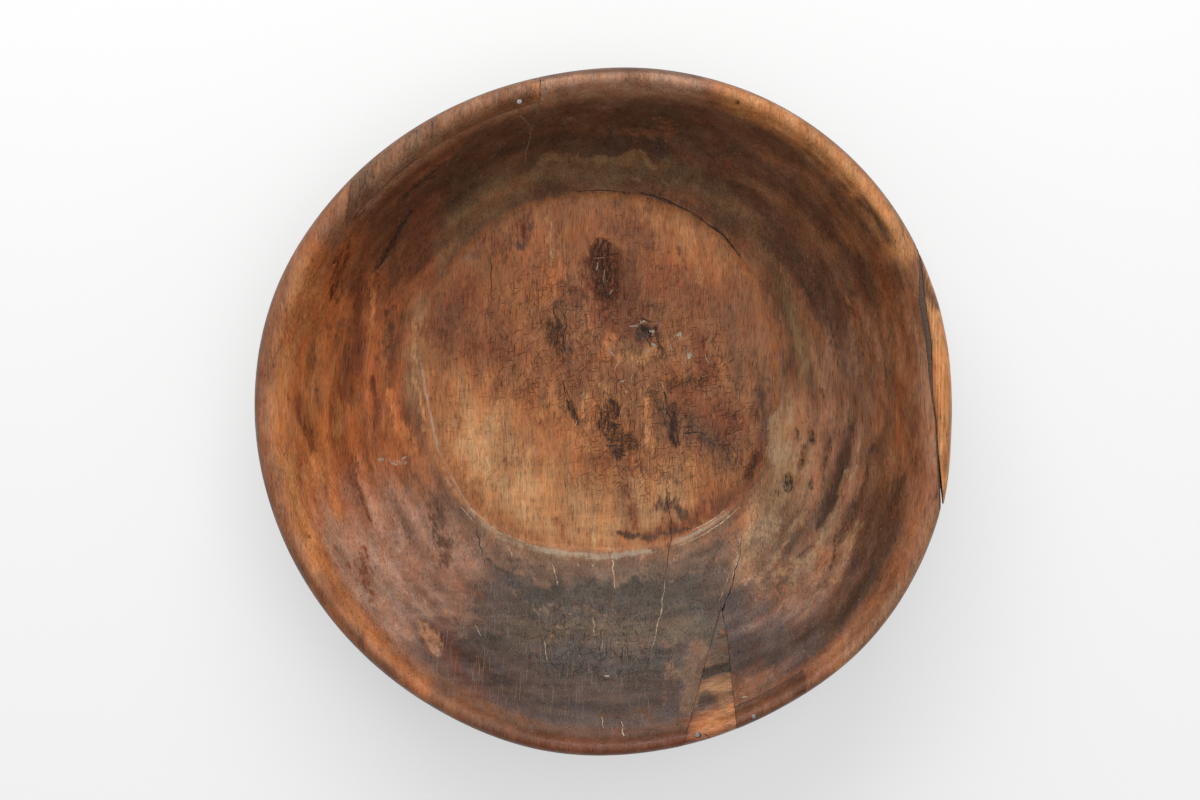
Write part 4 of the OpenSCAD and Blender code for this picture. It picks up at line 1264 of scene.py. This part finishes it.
CUTS = (
    (1.0, 150, 120, (560, 340), (640, 380), (640, 430)), (0.8, 100, 80, (690, 360), (720, 430)),
    (0.4, 150, 120, (480, 330), (480, 440)), (0.6, 80, 70, (560, 640), (640, 650)),
    (0.5, 60, 60, (620, 230), (690, 300)),
)


# Painting
# Farther off than any stroke reaches, in pixels
FAR_OFF = 1e9


def stroke(px, py, path, width, soft):
    """How much a soft stroke along a path covers each place, from 0 to 1."""
    nearest = np.full(px.shape, FAR_OFF)
    for (x0, y0), (x1, y1) in zip(path, path[1:]):
        dx, dy = x1 - x0, y1 - y0
        t = np.clip(((px - x0) * dx + (py - y0) * dy) / (dx * dx + dy * dy), 0, 1)
        nearest = np.minimum(nearest, np.hypot(px - x0 - t * dx, py - y0 - t * dy))
    return smooth(width / 2 + soft / 2, width / 2 - soft / 2, nearest)


def mix_in(rgb, name, share):
    rgb += (linear(name) - rgb) * share[:, None]


def lay_tones(rgb, tones, px, py, zone):
    for name, strength, width, soft, *path in tones:
        mix_in(rgb, name, strength * zone * stroke(px, py, path, width, soft))


# How far the zones' edges wander, in millimetres
ZONE_LUMPS, ZONE_WANDER = ((9, 14, 9), 81), 1.95
# Where a zone starts and is full: in millimetres past the rim's inner edge and past the floor's edge, and
# by how far a face looks up
RIM_FADE, FLOOR_FADE, SEEN_FROM = (-5, 3), (3, -2), (0.0, 0.3)


def zones(p, n):
    """How much each place belongs to the floor, to the rim, and to the side seen from above, from 0 to 1."""
    wander = ZONE_WANDER * lumps(p, *ZONE_LUMPS)
    a, r = turn_of(p[:, 0], p[:, 1]), np.hypot(p[:, 0], p[:, 1])
    edge = reach(a) - rim_width(a)
    rim = smooth(edge + RIM_FADE[0], edge + RIM_FADE[1], r + wander) * (p[:, 2] > BOWL_H / 2)
    dx, dy = p[:, 0] - FLOOR_OFF * FLOOR_SIDE_SHARE, p[:, 1] - FLOOR_OFF
    past = np.hypot(dx, dy) - floor_reach(turn_of(dx, dy)) + wander
    floor = smooth(*FLOOR_FADE, past) * (p[:, 2] < BOWL_H / 2)
    seen = smooth(*SEEN_FROM, n[:, 2])
    return floor * seen, rim * seen, seen


# Light and dark streaks round the wall, painted as the light and shade on the gouge's facets: length and
# width in millimetres, how far they shift the tone, and the mean radius that they run at
STREAK_LONG, STREAK_WIDE, STREAK_STRENGTH, STREAK_RADIUS = 52, 6.5, 0.9, 190
STREAK_LUMPS, STREAK_SWAY, STREAK_SWAY_LUMPS = ((1, 1, 1), 86, 3), 5, ((40, 40, 40), 88, 2)


def painted_facet_streaks(p, a):
    """Long light and dark streaks that run round the wall, from -1 to 1: painted light and shade of the
    facets.
    """
    inward = reach(a) - np.hypot(p[:, 0], p[:, 1]) + STREAK_SWAY * lumps(p, *STREAK_SWAY_LUMPS)
    turn = STREAK_RADIUS / STREAK_LONG * np.column_stack((np.cos(np.radians(a)), np.sin(np.radians(a))))
    return lumps(np.column_stack((turn, inward / STREAK_WIDE)), *STREAK_LUMPS)


# How far strokes wander, each in pixels with its lumps: broad ones across and along the grain, near ones, and
# those on the rim
BROAD_X, BROAD_Y = (8, ((12, 40, 12), 82, 4)), (18, ((13, 50, 13), 83, 4))
NEAR_X, NEAR_Y = (1.5, (9, 87)), (1.5, (9, 89))
RIM_X, RIM_Y = (4, (26, 91)), (4, (26, 92))
# The rim's outer edge is darkened, partly as dirt and partly as painted shade where it turns away: wander in
# millimetres with its lumps, where the darkening ends and is full, and its strength
DIRT_AND_SHADE_WANDER, DIRT_AND_SHADE_END, DIRT_AND_SHADE_FULL, DIRT_AND_SHADE_STRENGTH = (1.2, (8, 85)), 4.2, 0.4, 0.45
# The outside: where the foot's tone starts and is full, grey weathering, and rubbed ridges
FOOT_TONE, GREYED, GREY_LUMPS, RUBBED = (2.5, 0.5), 0.5, ((60, 90, 40), 84), 0.45
GREY_STEP, RUB_STEP = (0.1, 0.6), (0.25, 0.9)


def shaken(p, along, wander):
    """Values at each place moved by noise; wander says how far, and gives the noise's lumps."""
    far, lump = wander
    return along + far * lumps(p, *lump)


def paint(obj, base=None, over=()):
    """Lays the broad tones and the marks on a piece, in soft strokes whose edges wander along the grain."""
    p, n = points_of(obj), normals_of(obj)
    near_x, near_y = in_photo(p)
    px, py = shaken(p, near_x, BROAD_X), shaken(p, near_y, BROAD_Y)
    near_x, near_y = shaken(p, near_x, NEAR_X), shaken(p, near_y, NEAR_Y)
    floor, rim, seen = zones(p, n)
    a = turn_of(p[:, 0], p[:, 1])
    everywhere = np.ones(len(p))

    rgb = np.tile(linear("brown"), (len(p), 1))
    lay_tones(rgb, WALL_TONES, px, py, everywhere)
    wall = seen * (1 - rim) * (1 - floor)
    # painted light and shade: the wall turns lighter and darker in streaks along the gouge's facets
    rgb *= (1 + STREAK_STRENGTH * (0.5 + 0.5 * around(GOUGE_SHARES, a)) * wall * painted_facet_streaks(p, a))[:, None]
    mix_in(rgb, "tan", floor)
    lay_tones(rgb, FLOOR_TONES, px, py, floor)
    mix_in(rgb, "worn tan", rim)
    lay_tones(rgb, RIM_TONES, shaken(p, near_x, RIM_X), shaken(p, near_y, RIM_Y), rim)
    # painted shade and dirt: umber darkens the rim's outer edge, where it turns away
    outer = shaken(p, reach(a) - np.hypot(p[:, 0], p[:, 1]), DIRT_AND_SHADE_WANDER)
    mix_in(rgb, "umber", DIRT_AND_SHADE_STRENGTH * smooth(DIRT_AND_SHADE_END, DIRT_AND_SHADE_FULL, outer) * seen)
    if base:
        mix_in(rgb, base, everywhere)
    lay_tones(rgb, over, near_x, near_y, everywhere)
    weathered = 1 - seen
    mix_in(rgb, "outside", weathered)
    mix_in(rgb, "foot", weathered * smooth(*FOOT_TONE, p[:, 2]))
    mix_in(rgb, "grey brown", weathered * GREYED * smooth(*GREY_STEP, lumps(p, *GREY_LUMPS)))
    mix_in(rgb, "worn ridge", weathered * RUBBED * smooth(*RUB_STEP, values_of(obj, "ridge")))
    keep_colours(obj, "tone", rgb)

    # Marks: stains, pale places (partly wear, partly painted highlight) and knife cuts
    marks = np.zeros((len(p), 3))
    for column, rows in enumerate((STAINS, PALES, CUTS)):
        for strength, width, soft, *path in rows:
            here = strength * seen * stroke(near_x, near_y, path, width, soft)
            marks[:, column] = np.maximum(marks[:, column], here)
    keep_colours(obj, "marks", marks)
    patch, cover = rgb.copy(), np.zeros(len(p))
    for name, strength, width, soft, *path in PATCHES:
        here = strength * seen * (1 - rim) * stroke(px, py, path, width, soft)
        patch = np.where((here > cover)[:, None], linear(name), patch)
        cover = np.maximum(cover, here)
    keep_colours(obj, "patch", patch, cover)
    scratched = sum(strength * seen * stroke(px, py, path, width, soft)
                    for strength, width, soft, *path in SCRATCHED)
    keep_values(obj, "scratched", np.minimum(scratched, 1))
    keep_values(obj, "weathered", weathered)


# Shader nodes
def feed(socket, value):
    if isinstance(value, Wire):
        value.tree.links.new(value.socket, socket)
    else:
        socket.default_value = value


def add(tree, kind, inputs=(), **values):
    made = tree.nodes.new(kind)
    for key, value in values.items():
        setattr(made, key, value)
    for key, value in dict(inputs).items():
        feed(made.inputs[key], value)
    return made


class Wire:
    """An output of a shader node, which takes part in sums as a number does."""

    def __init__(self, node, key=0):
        self.tree, self.socket = node.id_data, node.outputs[key]

    def sum(self, operation, *values):
        return Wire(add(self.tree, "ShaderNodeMath", enumerate(values), operation=operation))

    def __add__(self, other):
        return self.sum("ADD", self, other)

    def __sub__(self, other):
        return self.sum("SUBTRACT", self, other)

    def __rsub__(self, other):
        return self.sum("SUBTRACT", other, self)

    def __mul__(self, other):
        return self.sum("MULTIPLY", self, other)

    def __truediv__(self, other):
        return self.sum("DIVIDE", self, other)

    def __rtruediv__(self, other):
        return self.sum("DIVIDE", other, self)

    def most(self, other):
        return self.sum("MAXIMUM", self, other)

    def step(self, low, high):
        """A soft step, 0 at low and 1 at high."""
        return Wire(add(self.tree, "ShaderNodeMapRange", {"Value": self, "From Min": low, "From Max": high},
                        interpolation_type="SMOOTHSTEP"))

    def turned(self, angle):
        return Wire(add(self.tree, "ShaderNodeVectorRotate", {"Vector": self, "Angle": angle},
                        rotation_type="Z_AXIS"))

    def stretched(self, sizes):
        return Wire(add(self.tree, "ShaderNodeVectorMath", {0: self, 1: sizes}, operation="MULTIPLY"))

    __radd__, __rmul__ = __add__, __mul__


def noise(place, lumps_per_metre, detail, roughness=0.6):
    return Wire(add(place.tree, "ShaderNodeTexNoise", {
        "Vector": place.stretched(lumps_per_metre), "Scale": 1, "Detail": detail, "Roughness": roughness}))


def shaken_place(place, size, detail, far):
    """A place moved by noise, so that a pattern read there runs unevenly."""
    shake = add(place.tree, "ShaderNodeTexNoise", {"Vector": place, "Scale": size, "Detail": detail})
    return Wire(add(place.tree, "ShaderNodeVectorMath", {0: Wire(shake, "Color"), 1: far, 2: place},
                    operation="MULTIPLY_ADD"))


def mixed(share, a, b, blend="MIX"):
    tree = (share if isinstance(share, Wire) else a).tree
    made = add(tree, "ShaderNodeMix", data_type="RGBA", blend_type=blend)
    for place, value in ((0, share), (6, a), (7, b)):
        feed(made.inputs[place], value)
    return Wire(made, 2)


def darker(rgb, share, tint):
    return mixed(share, rgb, mixed(1.0, rgb, (*tint, 1), "MULTIPLY"))


def group(name, numbers, outputs):
    """A node group that reads a place and some numbers, and puts out values."""
    made = bpy.data.node_groups.new(name, "ShaderNodeTree")
    made.interface.new_socket("Vector", in_out="INPUT", socket_type="NodeSocketVector")
    for label, value in numbers.items():
        socket = made.interface.new_socket(label, in_out="INPUT", socket_type="NodeSocketFloat")
        socket.default_value = value
    for label in outputs:
        made.interface.new_socket(label, in_out="OUTPUT", socket_type="NodeSocketFloat")
    start, end = made.nodes.new("NodeGroupInput"), made.nodes.new("NodeGroupOutput")
    return made, {label: Wire(start, label) for label in ("Vector", *numbers)}, end.inputs


def use(made_group, place, values):
    """Places a group in a place's tree, and gives its outputs by name."""
    made = add(place.tree, "ShaderNodeGroup", node_tree=made_group)
    for label, value in {"Vector": place, **values}.items():
        feed(made.inputs[label], value)
    return {socket.name: Wire(made, socket.name) for socket in made.outputs}


# Layers of the figure: lumps per metre across and along the grain, strength, detail
FIGURE_LAYERS = ((1250, 80, 1.15, 1), (620, 60, 0.72, 2), (300, 50, 0.5, 3), (110, 32, 0.55, 4),
                 (44, 15, 0.5, 2))
FIGURE_BEND, FIGURE_MEAN = (14.0, 1.0, (0.01, 0.03, 0.01)), 1.08
BLOTCHES, BLOTCH_STEP, BLOTCH_STRENGTH = ((54, 19, 54), 6, 0.66), (0.44, 0.58), 0.27
PORES, PORE_STEP = ((900, 170, 900), 2, 0.5), (0.58, 0.66)


def wood_figure():
    """Fibres, streaks and blotches along the grain: a value to scale the colour by, and dark pores."""
    numbers = {"Width": 1.0, "Length": 1.0, "Contrast": 1.0}
    made, inside, out = group("wood_figure", numbers, ("Value", "Fine", "Pores"))
    bent = shaken_place(inside["Vector"], *FIGURE_BEND)
    thin, long = 1 / inside["Width"], 1 / inside["Length"]
    laid = bent.stretched(Wire(add(made, "ShaderNodeCombineXYZ", {"X": thin, "Y": long, "Z": thin})))
    total = 0.0
    for across, along, strength, detail in FIGURE_LAYERS:
        layer = noise(laid, (across, along, across), detail)
        total = (layer - 0.5) * strength + total
        if detail == 1:
            feed(out["Fine"], layer)
    total = (noise(laid, *BLOTCHES).step(*BLOTCH_STEP) - 0.5) * BLOTCH_STRENGTH + total
    feed(out["Value"], total * inside["Contrast"] + FIGURE_MEAN)
    feed(out["Pores"], noise(laid, *PORES).step(*PORE_STEP))
    return made


RING_LUMPS = (22, 9, 22), 3, 0.5


def growth_rings():
    """Rings of the log round its pith, which runs along the grain."""
    numbers = {"Pith X": 0.0, "Pith Z": 0.3, "Spacing": 5.0, "Wander": 1.5}
    made, inside, out = group("growth_rings", numbers, ("Rings",))
    parts = add(made, "ShaderNodeSeparateXYZ", {0: inside["Vector"]})
    x, z = Wire(parts, 0) - inside["Pith X"], Wire(parts, 2) - inside["Pith Z"]
    far = x.sum("SQRT", x * x + z * z)
    turn = far / MM / inside["Spacing"] + noise(inside["Vector"], *RING_LUMPS) * inside["Wander"]
    feed(out["Rings"], x.sum("SINE", turn * (2 * math.pi)) * 0.5 + 0.5)
    return made


MASK_LUMPS, MASK_SPREAD, MASK_SHIFT, MASK_START = ((250, 90, 250), 6, 0.72), 1.3, 0.15, (0.02, 0.2)


def broken_mask():
    """A painted mask whose soft edge breaks up into fibres and specks."""
    made, inside, out = group("broken_mask", {"Mask": 0.0, "Breakup": 0.9, "Edge": 0.12}, ("Mask",))
    mask, edge = inside["Mask"], inside["Edge"]
    breaks = (noise(inside["Vector"], *MASK_LUMPS) - 0.5) * inside["Breakup"]
    uneven = mask * MASK_SPREAD - MASK_SHIFT + breaks
    feed(out["Mask"], uneven.step(0.5 - edge, 0.5 + edge) * mask.step(*MASK_START))
    return made


CRACKLE_BEND, CRACKLE_CELLS = (240.0, 3.0, (0.0016, 0.002, 0.0016)), (300, 170, 300)
CRACKLE_PLACES, CRACKLE_LINE = ((120, 60, 120), 3), (0.1, 0.035)
# The noise at which the net starts, how much lower that is where the net is dense, and where it is full
CRACKLE_START, CRACKLE_DENSER, CRACKLE_FULL = 0.72, 0.3, 0.75


def crackle():
    """A net of fine dark lines, here and there, as in old varnish and dry dirt."""
    made, inside, out = group("crackle", {"Density": 0.5}, ("Lines",))
    bent = shaken_place(inside["Vector"], *CRACKLE_BEND)
    cells = add(made, "ShaderNodeTexVoronoi", {"Vector": bent.stretched(CRACKLE_CELLS), "Scale": 1.0},
                feature="DISTANCE_TO_EDGE")
    line = Wire(cells, "Distance").step(*CRACKLE_LINE)
    start = CRACKLE_START - inside["Density"] * CRACKLE_DENSER
    here = noise(inside["Vector"], *CRACKLE_PLACES).step(start, CRACKLE_FULL)
    feed(out["Lines"], line * here)
    return made


CUT_EDGE = 0.34, 0.14


def short_cuts():
    """Short knife cuts that lie one way, thickly or thinly sown, with sizes in millimetres."""
    numbers = {"Turn": 0.0, "Length": 9.0, "Width": 0.7, "Density": 0.3}
    made, inside, out = group("short_cuts", numbers, ("Cuts",))
    turned = inside["Vector"].turned(inside["Turn"])
    per_metre = {"X": 1 / MM / inside["Width"], "Y": 1 / MM / inside["Length"]}
    laid = turned.stretched(Wire(add(made, "ShaderNodeCombineXYZ", per_metre)))
    cells = add(made, "ShaderNodeTexVoronoi", {"Vector": laid, "Scale": 1.0},
                voronoi_dimensions="2D")
    chance = Wire(add(made, "ShaderNodeSeparateXYZ", {0: Wire(cells, "Color")}))
    chosen = chance.sum("GREATER_THAN", chance, 1 - inside["Density"])
    feed(out["Cuts"], chosen * Wire(cells, "Distance").step(*CUT_EDGE))
    return made


def new_material(name):
    material = bpy.data.materials.new(name)
    material.use_nodes = True
    tree = material.node_tree
    return material, tree, tree.nodes["Principled BSDF"]


def bumped(shader, height, strength, distance):
    """Feeds a relief to a shader; distance is the relief's height in metres."""
    feed(shader.inputs["Normal"], Wire(add(shader.id_data, "ShaderNodeBump", {
        "Height": height, "Strength": strength, "Distance": distance})))


# Noise over the wood: lumps per metre along x, y and z, detail and roughness
SMEARS, WARMTH, SPECKS = ((22, 130, 100), 8, 0.7), ((90, 38, 90), 8, 0.72), ((520, 230, 520), 4, 0.7)
FLAKES, GLOSS, RELIEF = ((230, 170, 230), 8, 0.75), ((70, 40, 70), 4, 0.6), ((210, 120, 210), 5, 0.62)
# Where soft steps in that noise and in the painted marks start and end
WARM_STEP, SPECK_STEP, FLAKE_STEP, BARE_STEP = (0.45, 0.56), (0.48, 0.56), (0.53, 0.58), (0.42, 0.37)
SCORE_STEP, STAIN_STEP = (0.05, 0.8), (0.2, 0.75)
# How masks break up: the reach of the breaks and the softness of the edge
PATCH_BREAKS, STAIN_BREAKS, PALE_BREAKS = (1.5, 0.2), (2.0, 0.26), (1.7, 0.4)
# Knife cuts, scratches and flecks: turn in radians, length and width in millimetres, and density
KNIFE_CUTS = ((0.1, 15, 0.75, 0.08), (1.45, 12, 0.75, 0.08), (2.5, 10, 0.7, 0.08), (0.85, 13, 0.7, 0.08))
SCRATCHES = ((0.05, 30, 0.6, 0.1), (-0.14, 22, 0.55, 0.08), (0.3, 12, 0.5, 0.06))
FLECKS, FLECK_STRENGTH, SCRATCH_STRENGTH = (0.6, 2.4, 1.2, 0.02), 0.45, 0.7
# Tints that darken the wood, and how strongly
WARM_TINT, FLAKE_TINT = (0.93, 0.77, 0.64), (0.72, 0.68, 0.68)
STAIN_TINT, SCORE_TINT = (0.42, 0.39, 0.34), (0.17, 0.15, 0.14)
WARM_SHARE, FLAKE_SHARE, STAIN_SHARE, SCORE_SHARE = 0.85, 0.6, 0.62, 0.95
BARE_FLAKE_SHARE, DUST_AND_HIGHLIGHT_SHARE = 0.35, 0.5
# Light and dark of the wood: its mean, how much rubbed places are calmed and smeared, ridges and pores
VALUE_MEAN, CALMED, SMEARED, RIDGE_SHARE, PORE_SHARE, NET_SHARE = 1.06, 0.65, 2.6, 0.16, 0.3, 0.75
RING_STRENGTH = 0.2
# Roughness and relief
GLOSS_SPREAD, DRY_MARKS, DRY_OUTSIDE, SPECULAR = 0.5, 0.12, 0.22, 0.3
FINE_RELIEF, PORE_RELIEF, CUT_RELIEF, LUMP_RELIEF, STAIN_RELIEF = 0.3, 0.2, 0.6, 0.6, 0.35
WOOD_BUMP, WOOD_RELIEF = 0.6, 0.0011


def cuts_in(groups, place, kinds):
    """The strongest of several kinds of cuts at each place."""
    strongest = 0.0
    for turn, length, width, density in kinds:
        numbers = {"Turn": turn, "Length": length, "Width": width, "Density": density}
        strongest = use(groups["cuts"], place, numbers)["Cuts"].most(strongest)
    return strongest


def worn_wood(name, groups, width=1.0, length=1.0, contrast=1.0, roughness=0.44, turn=0.0, rings=None):
    """Old oiled wood that takes its broad tone from the painted strokes and its detail from the grain."""
    material, tree, shader = new_material(name)
    place = Wire(add(tree, "ShaderNodeTexCoord"), "Object")

    def read(attribute_name, key="Fac"):
        return Wire(add(tree, "ShaderNodeAttribute", attribute_name=attribute_name), key)

    def broken(mask, breaks):
        return use(groups["mask"], place, {"Mask": mask, "Breakup": breaks[0], "Edge": breaks[1]})["Mask"]

    marks = add(tree, "ShaderNodeSeparateColor", {0: read("marks", "Color")})
    # The marks' second channel holds pale places: partly wear, partly painted highlight
    stain, worn, knifed = (Wire(marks, k) for k in range(3))
    smoothed = read("scratched")
    numbers = {"Width": width, "Length": length, "Contrast": contrast}
    figure = use(groups["figure"], place.turned(turn), numbers)
    value = (figure["Value"] - VALUE_MEAN) * (1 - smoothed * CALMED) + VALUE_MEAN
    value = (noise(place, *SMEARS) - 0.5) * (smoothed * SMEARED) + value
    # painted light and shade: ridges between the tool cuts turn lighter and the cuts' hollows darker
    value = read("ridge") * RIDGE_SHARE + value - figure["Pores"] * PORE_SHARE
    if rings:
        value = (use(groups["rings"], place, rings)["Rings"] - 0.5) * (2 * RING_STRENGTH) + value
    base = mixed(broken(read("patch", "Alpha"), PATCH_BREAKS), read("tone", "Color"), read("patch", "Color"))
    base = Wire(add(tree, "ShaderNodeVectorMath", {0: base, "Scale": value}, operation="SCALE"))
    base = darker(base, noise(place, *WARMTH).step(*WARM_STEP) * WARM_SHARE, WARM_TINT)

    dark, pale = broken(stain, STAIN_BREAKS), broken(worn, PALE_BREAKS)
    scored, stained = knifed.step(*SCORE_STEP), stain.step(*STAIN_STEP)
    net = use(groups["crackle"], place, {"Density": stain + scored})["Lines"]
    net = net * stained.most(scored * NET_SHARE)
    speck = noise(place, *SPECKS).step(*SPECK_STEP) * stained * dark
    scores = (cuts_in(groups, place, KNIFE_CUTS) * scored).most(net.most(speck))
    scratches = cuts_in(groups, place, SCRATCHES) * smoothed * SCRATCH_STRENGTH
    # Small pale flecks everywhere: partly dust specks, partly painted glints
    scratches = scratches.most(cuts_in(groups, place, (FLECKS,)) * FLECK_STRENGTH)
    flakes = noise(place, *FLAKES)
    base = darker(base, flakes.step(*FLAKE_STEP) * scored * FLAKE_SHARE, FLAKE_TINT)
    base = mixed(flakes.step(*BARE_STEP) * scored * BARE_FLAKE_SHARE, base, colour("pale tan"))
    base = darker(base, dark * STAIN_SHARE, STAIN_TINT)
    base = darker(base, scores * SCORE_SHARE, SCORE_TINT)
    # Pale places, scratches and flecks turn a dusty pale: partly wear and dust, partly painted highlight
    base = mixed(pale.most(scratches) * DUST_AND_HIGHLIGHT_SHARE, base, colour("dust"))
    feed(shader.inputs["Base Color"], base)
    feed(shader.inputs["Specular IOR Level"], SPECULAR)

    rough = (noise(place, *GLOSS) - 0.5) * GLOSS_SPREAD + roughness + pale.most(dark) * DRY_MARKS
    rough = read("weathered") * DRY_OUTSIDE + rough
    feed(shader.inputs["Roughness"], Wire(add(tree, "ShaderNodeClamp", {0: rough})))
    height = figure["Fine"] * FINE_RELIEF - figure["Pores"] * PORE_RELIEF
    height = height - scores.most(scratches) * CUT_RELIEF
    height = noise(place, *RELIEF) * LUMP_RELIEF + height - dark * STAIN_RELIEF
    bumped(shader, height, WOOD_BUMP, WOOD_RELIEF)
    return material


ROUGH_LUMPS, ROUGH_STEP, ROUGH_SPREAD, ROUGH_RELIEF = (6, 0.65), (0.38, 0.64), 0.3, 0.0005


def plain_rough(name, dark, light, size, roughness, bump=0.5, metallic=0.0):
    """A dull, gritty or beaten finish between two colours, with this many lumps per metre."""
    material, tree, shader = new_material(name)
    lump = noise(Wire(add(tree, "ShaderNodeTexCoord"), "Object"), (size, size, size), *ROUGH_LUMPS)
    feed(shader.inputs["Base Color"], mixed(lump.step(*ROUGH_STEP), colour(dark), colour(light)))
    feed(shader.inputs["Roughness"], lump * ROUGH_SPREAD + roughness)
    feed(shader.inputs["Metallic"], metallic)
    bumped(shader, lump, bump, ROUGH_RELIEF)
    return material


# The pith that the segment's rings run round, in metres, their spacing in millimetres, and how they wander
SEGMENT_RINGS = {"Pith X": 0.262, "Pith Z": 0.128, "Spacing": 1.9, "Wander": 1.2}


def make_looks():
    groups = {"figure": wood_figure(), "rings": growth_rings(), "mask": broken_mask(), "cuts": short_cuts(),
              "crackle": crackle()}
    return {
        "bowl": worn_wood("old_oiled_bowl_wood", groups),
        "segment": worn_wood("lighter_segment_wood", groups, contrast=0.8, rings=SEGMENT_RINGS),
        "wedge": worn_wood("wedge_wood", groups, length=0.8, contrast=1.3, turn=1.36),
        "red strip": worn_wood("red_strip_wood", groups, width=0.8, length=1.3, contrast=1.1),
        "grey strip": worn_wood("grey_strip_wood", groups, width=1.2, length=1.6, contrast=1.2,
                                roughness=0.52),
        "raw cut": plain_rough("joint_shadow_wood", "dark brown", "joint", 300, 0.7),
        "dark crack": plain_rough("dark_crack_dirt", "soot", "dark brown", 400, 0.75),
        "pale crack": plain_rough("pale_crack_dust", "old dust", "bare dust", 500, 0.75),
        # painted highlight: bright grooves along the floor's edge and small chips shine in a pale glint
        # colour
        "painted highlight": plain_rough("painted_highlight_wood", "old dust", "glint", 700, 0.5),
        "pitch": plain_rough("gritty_pitch", "dark brown", "pitch", 900, 0.62, 0.8),
        "iron": plain_rough("worn_nail_iron", "iron", "worn iron", 900, 0.5, 0.5, 0.2),
    }


# Floor and light. The floor glows a little where the camera or a gloss sees it
FLOOR_SIZE, FLOOR_DROP, FLOOR_COLOUR, FLOOR_ROUGH, FLOOR_GLOW = 9, 0.0004, (0.86, 0.865, 0.87, 1), 0.9, 0.45
WHITE, SKY_STRENGTH = (1, 1, 1, 1), 0.42
# Each lamp: place and size in metres, power in watts, tint
LAMPS = {"high_soft_light": ((-0.25, 1.9, 1.5), (2.2, 1.4), 48, (1, 0.99, 0.97)),
         "front_fill": ((0.5, 0.2, 2.6), (1.6, 1.6), 16, (1, 1, 1))}
LAMP_TARGET = Vector((0, 0, 0.05))


def make_floor():
    only()
    bpy.ops.mesh.primitive_plane_add(size=FLOOR_SIZE, location=(0, 0, -FLOOR_DROP))
    floor = bpy.context.object
    bpy.ops.object.transform_apply(location=True)
    floor.name = "pale_floor"
    material, tree, shader = new_material("pale_floor")
    feed(shader.inputs["Base Color"], FLOOR_COLOUR)
    feed(shader.inputs["Roughness"], FLOOR_ROUGH)
    glow = Wire(add(tree, "ShaderNodeEmission", {"Color": WHITE, "Strength": 1.0}))
    ray = add(tree, "ShaderNodeLightPath")
    seen = Wire(ray, "Is Camera Ray").most(Wire(ray, "Is Glossy Ray")) * FLOOR_GLOW
    both = Wire(add(tree, "ShaderNodeMixShader", {0: seen, 1: Wire(shader), 2: glow}))
    feed(tree.nodes["Material Output"].inputs["Surface"], both)
    floor.data.materials.append(material)


def make_light():
    world = bpy.data.worlds.new("studio")
    bpy.context.scene.world = world
    world.use_nodes = True
    sky = world.node_tree.nodes["Background"].inputs
    sky["Color"].default_value, sky["Strength"].default_value = WHITE, SKY_STRENGTH
    for name, (place, size, power, tint) in LAMPS.items():
        bpy.ops.object.light_add(type="AREA", location=place)
        lamp = named(bpy.context.object, name)
        lamp.rotation_euler = (LAMP_TARGET - Vector(place)).to_track_quat("-Z", "Y").to_euler()
        lamp.data.shape = "RECTANGLE"
        lamp.data.size, lamp.data.size_y = size
        lamp.data.energy, lamp.data.color = power, tint
    bpy.context.scene.view_settings.view_transform = "Standard"


# Putting it together
def main():
    set_camera()
    make_floor()
    make_light()
    looks = make_looks()
    form = carved_form()
    cuts = plans()
    sight = BVHTree.FromObject(form, bpy.context.evaluated_depsgraph_get())
    made = (
        (make_bowl(form, cuts, sight, looks), "bowl_body", "bowl_wood", None, ()),
        (make_segment(form, cuts, looks), "rim_segment", "segment_wood", "light tan", SEGMENT_TONES),
        (make_pitch(form, cuts, looks), "pitch_seam", "pitch", "pitch", ()),
        (make_wedge(form, cuts, sight, looks), "crack_wedge", "wedge_wood", None, WEDGE_TONES),
        (make_strip(form, cuts, looks, "lower", "red strip"), "lower_rim_strip", "red_strip_wood",
         "strip brown", LOWER_STRIP_TONES),
        (make_strip(form, cuts, looks, "upper", "grey strip"), "upper_rim_strip", "grey_strip_wood",
         "grey brown", UPPER_STRIP_TONES),
    )
    for piece, node, slot, base, over in made:
        paint(piece, base, over)
        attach(piece, "root")
        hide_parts(node)
    for k, name in enumerate(NAILS):
        nail = coated(hammered_nail(name, FIRST_BEAT + k), looks["iron"])
        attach(nail, "root")
        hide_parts(name)
    bpy.data.objects.remove(form)


main()
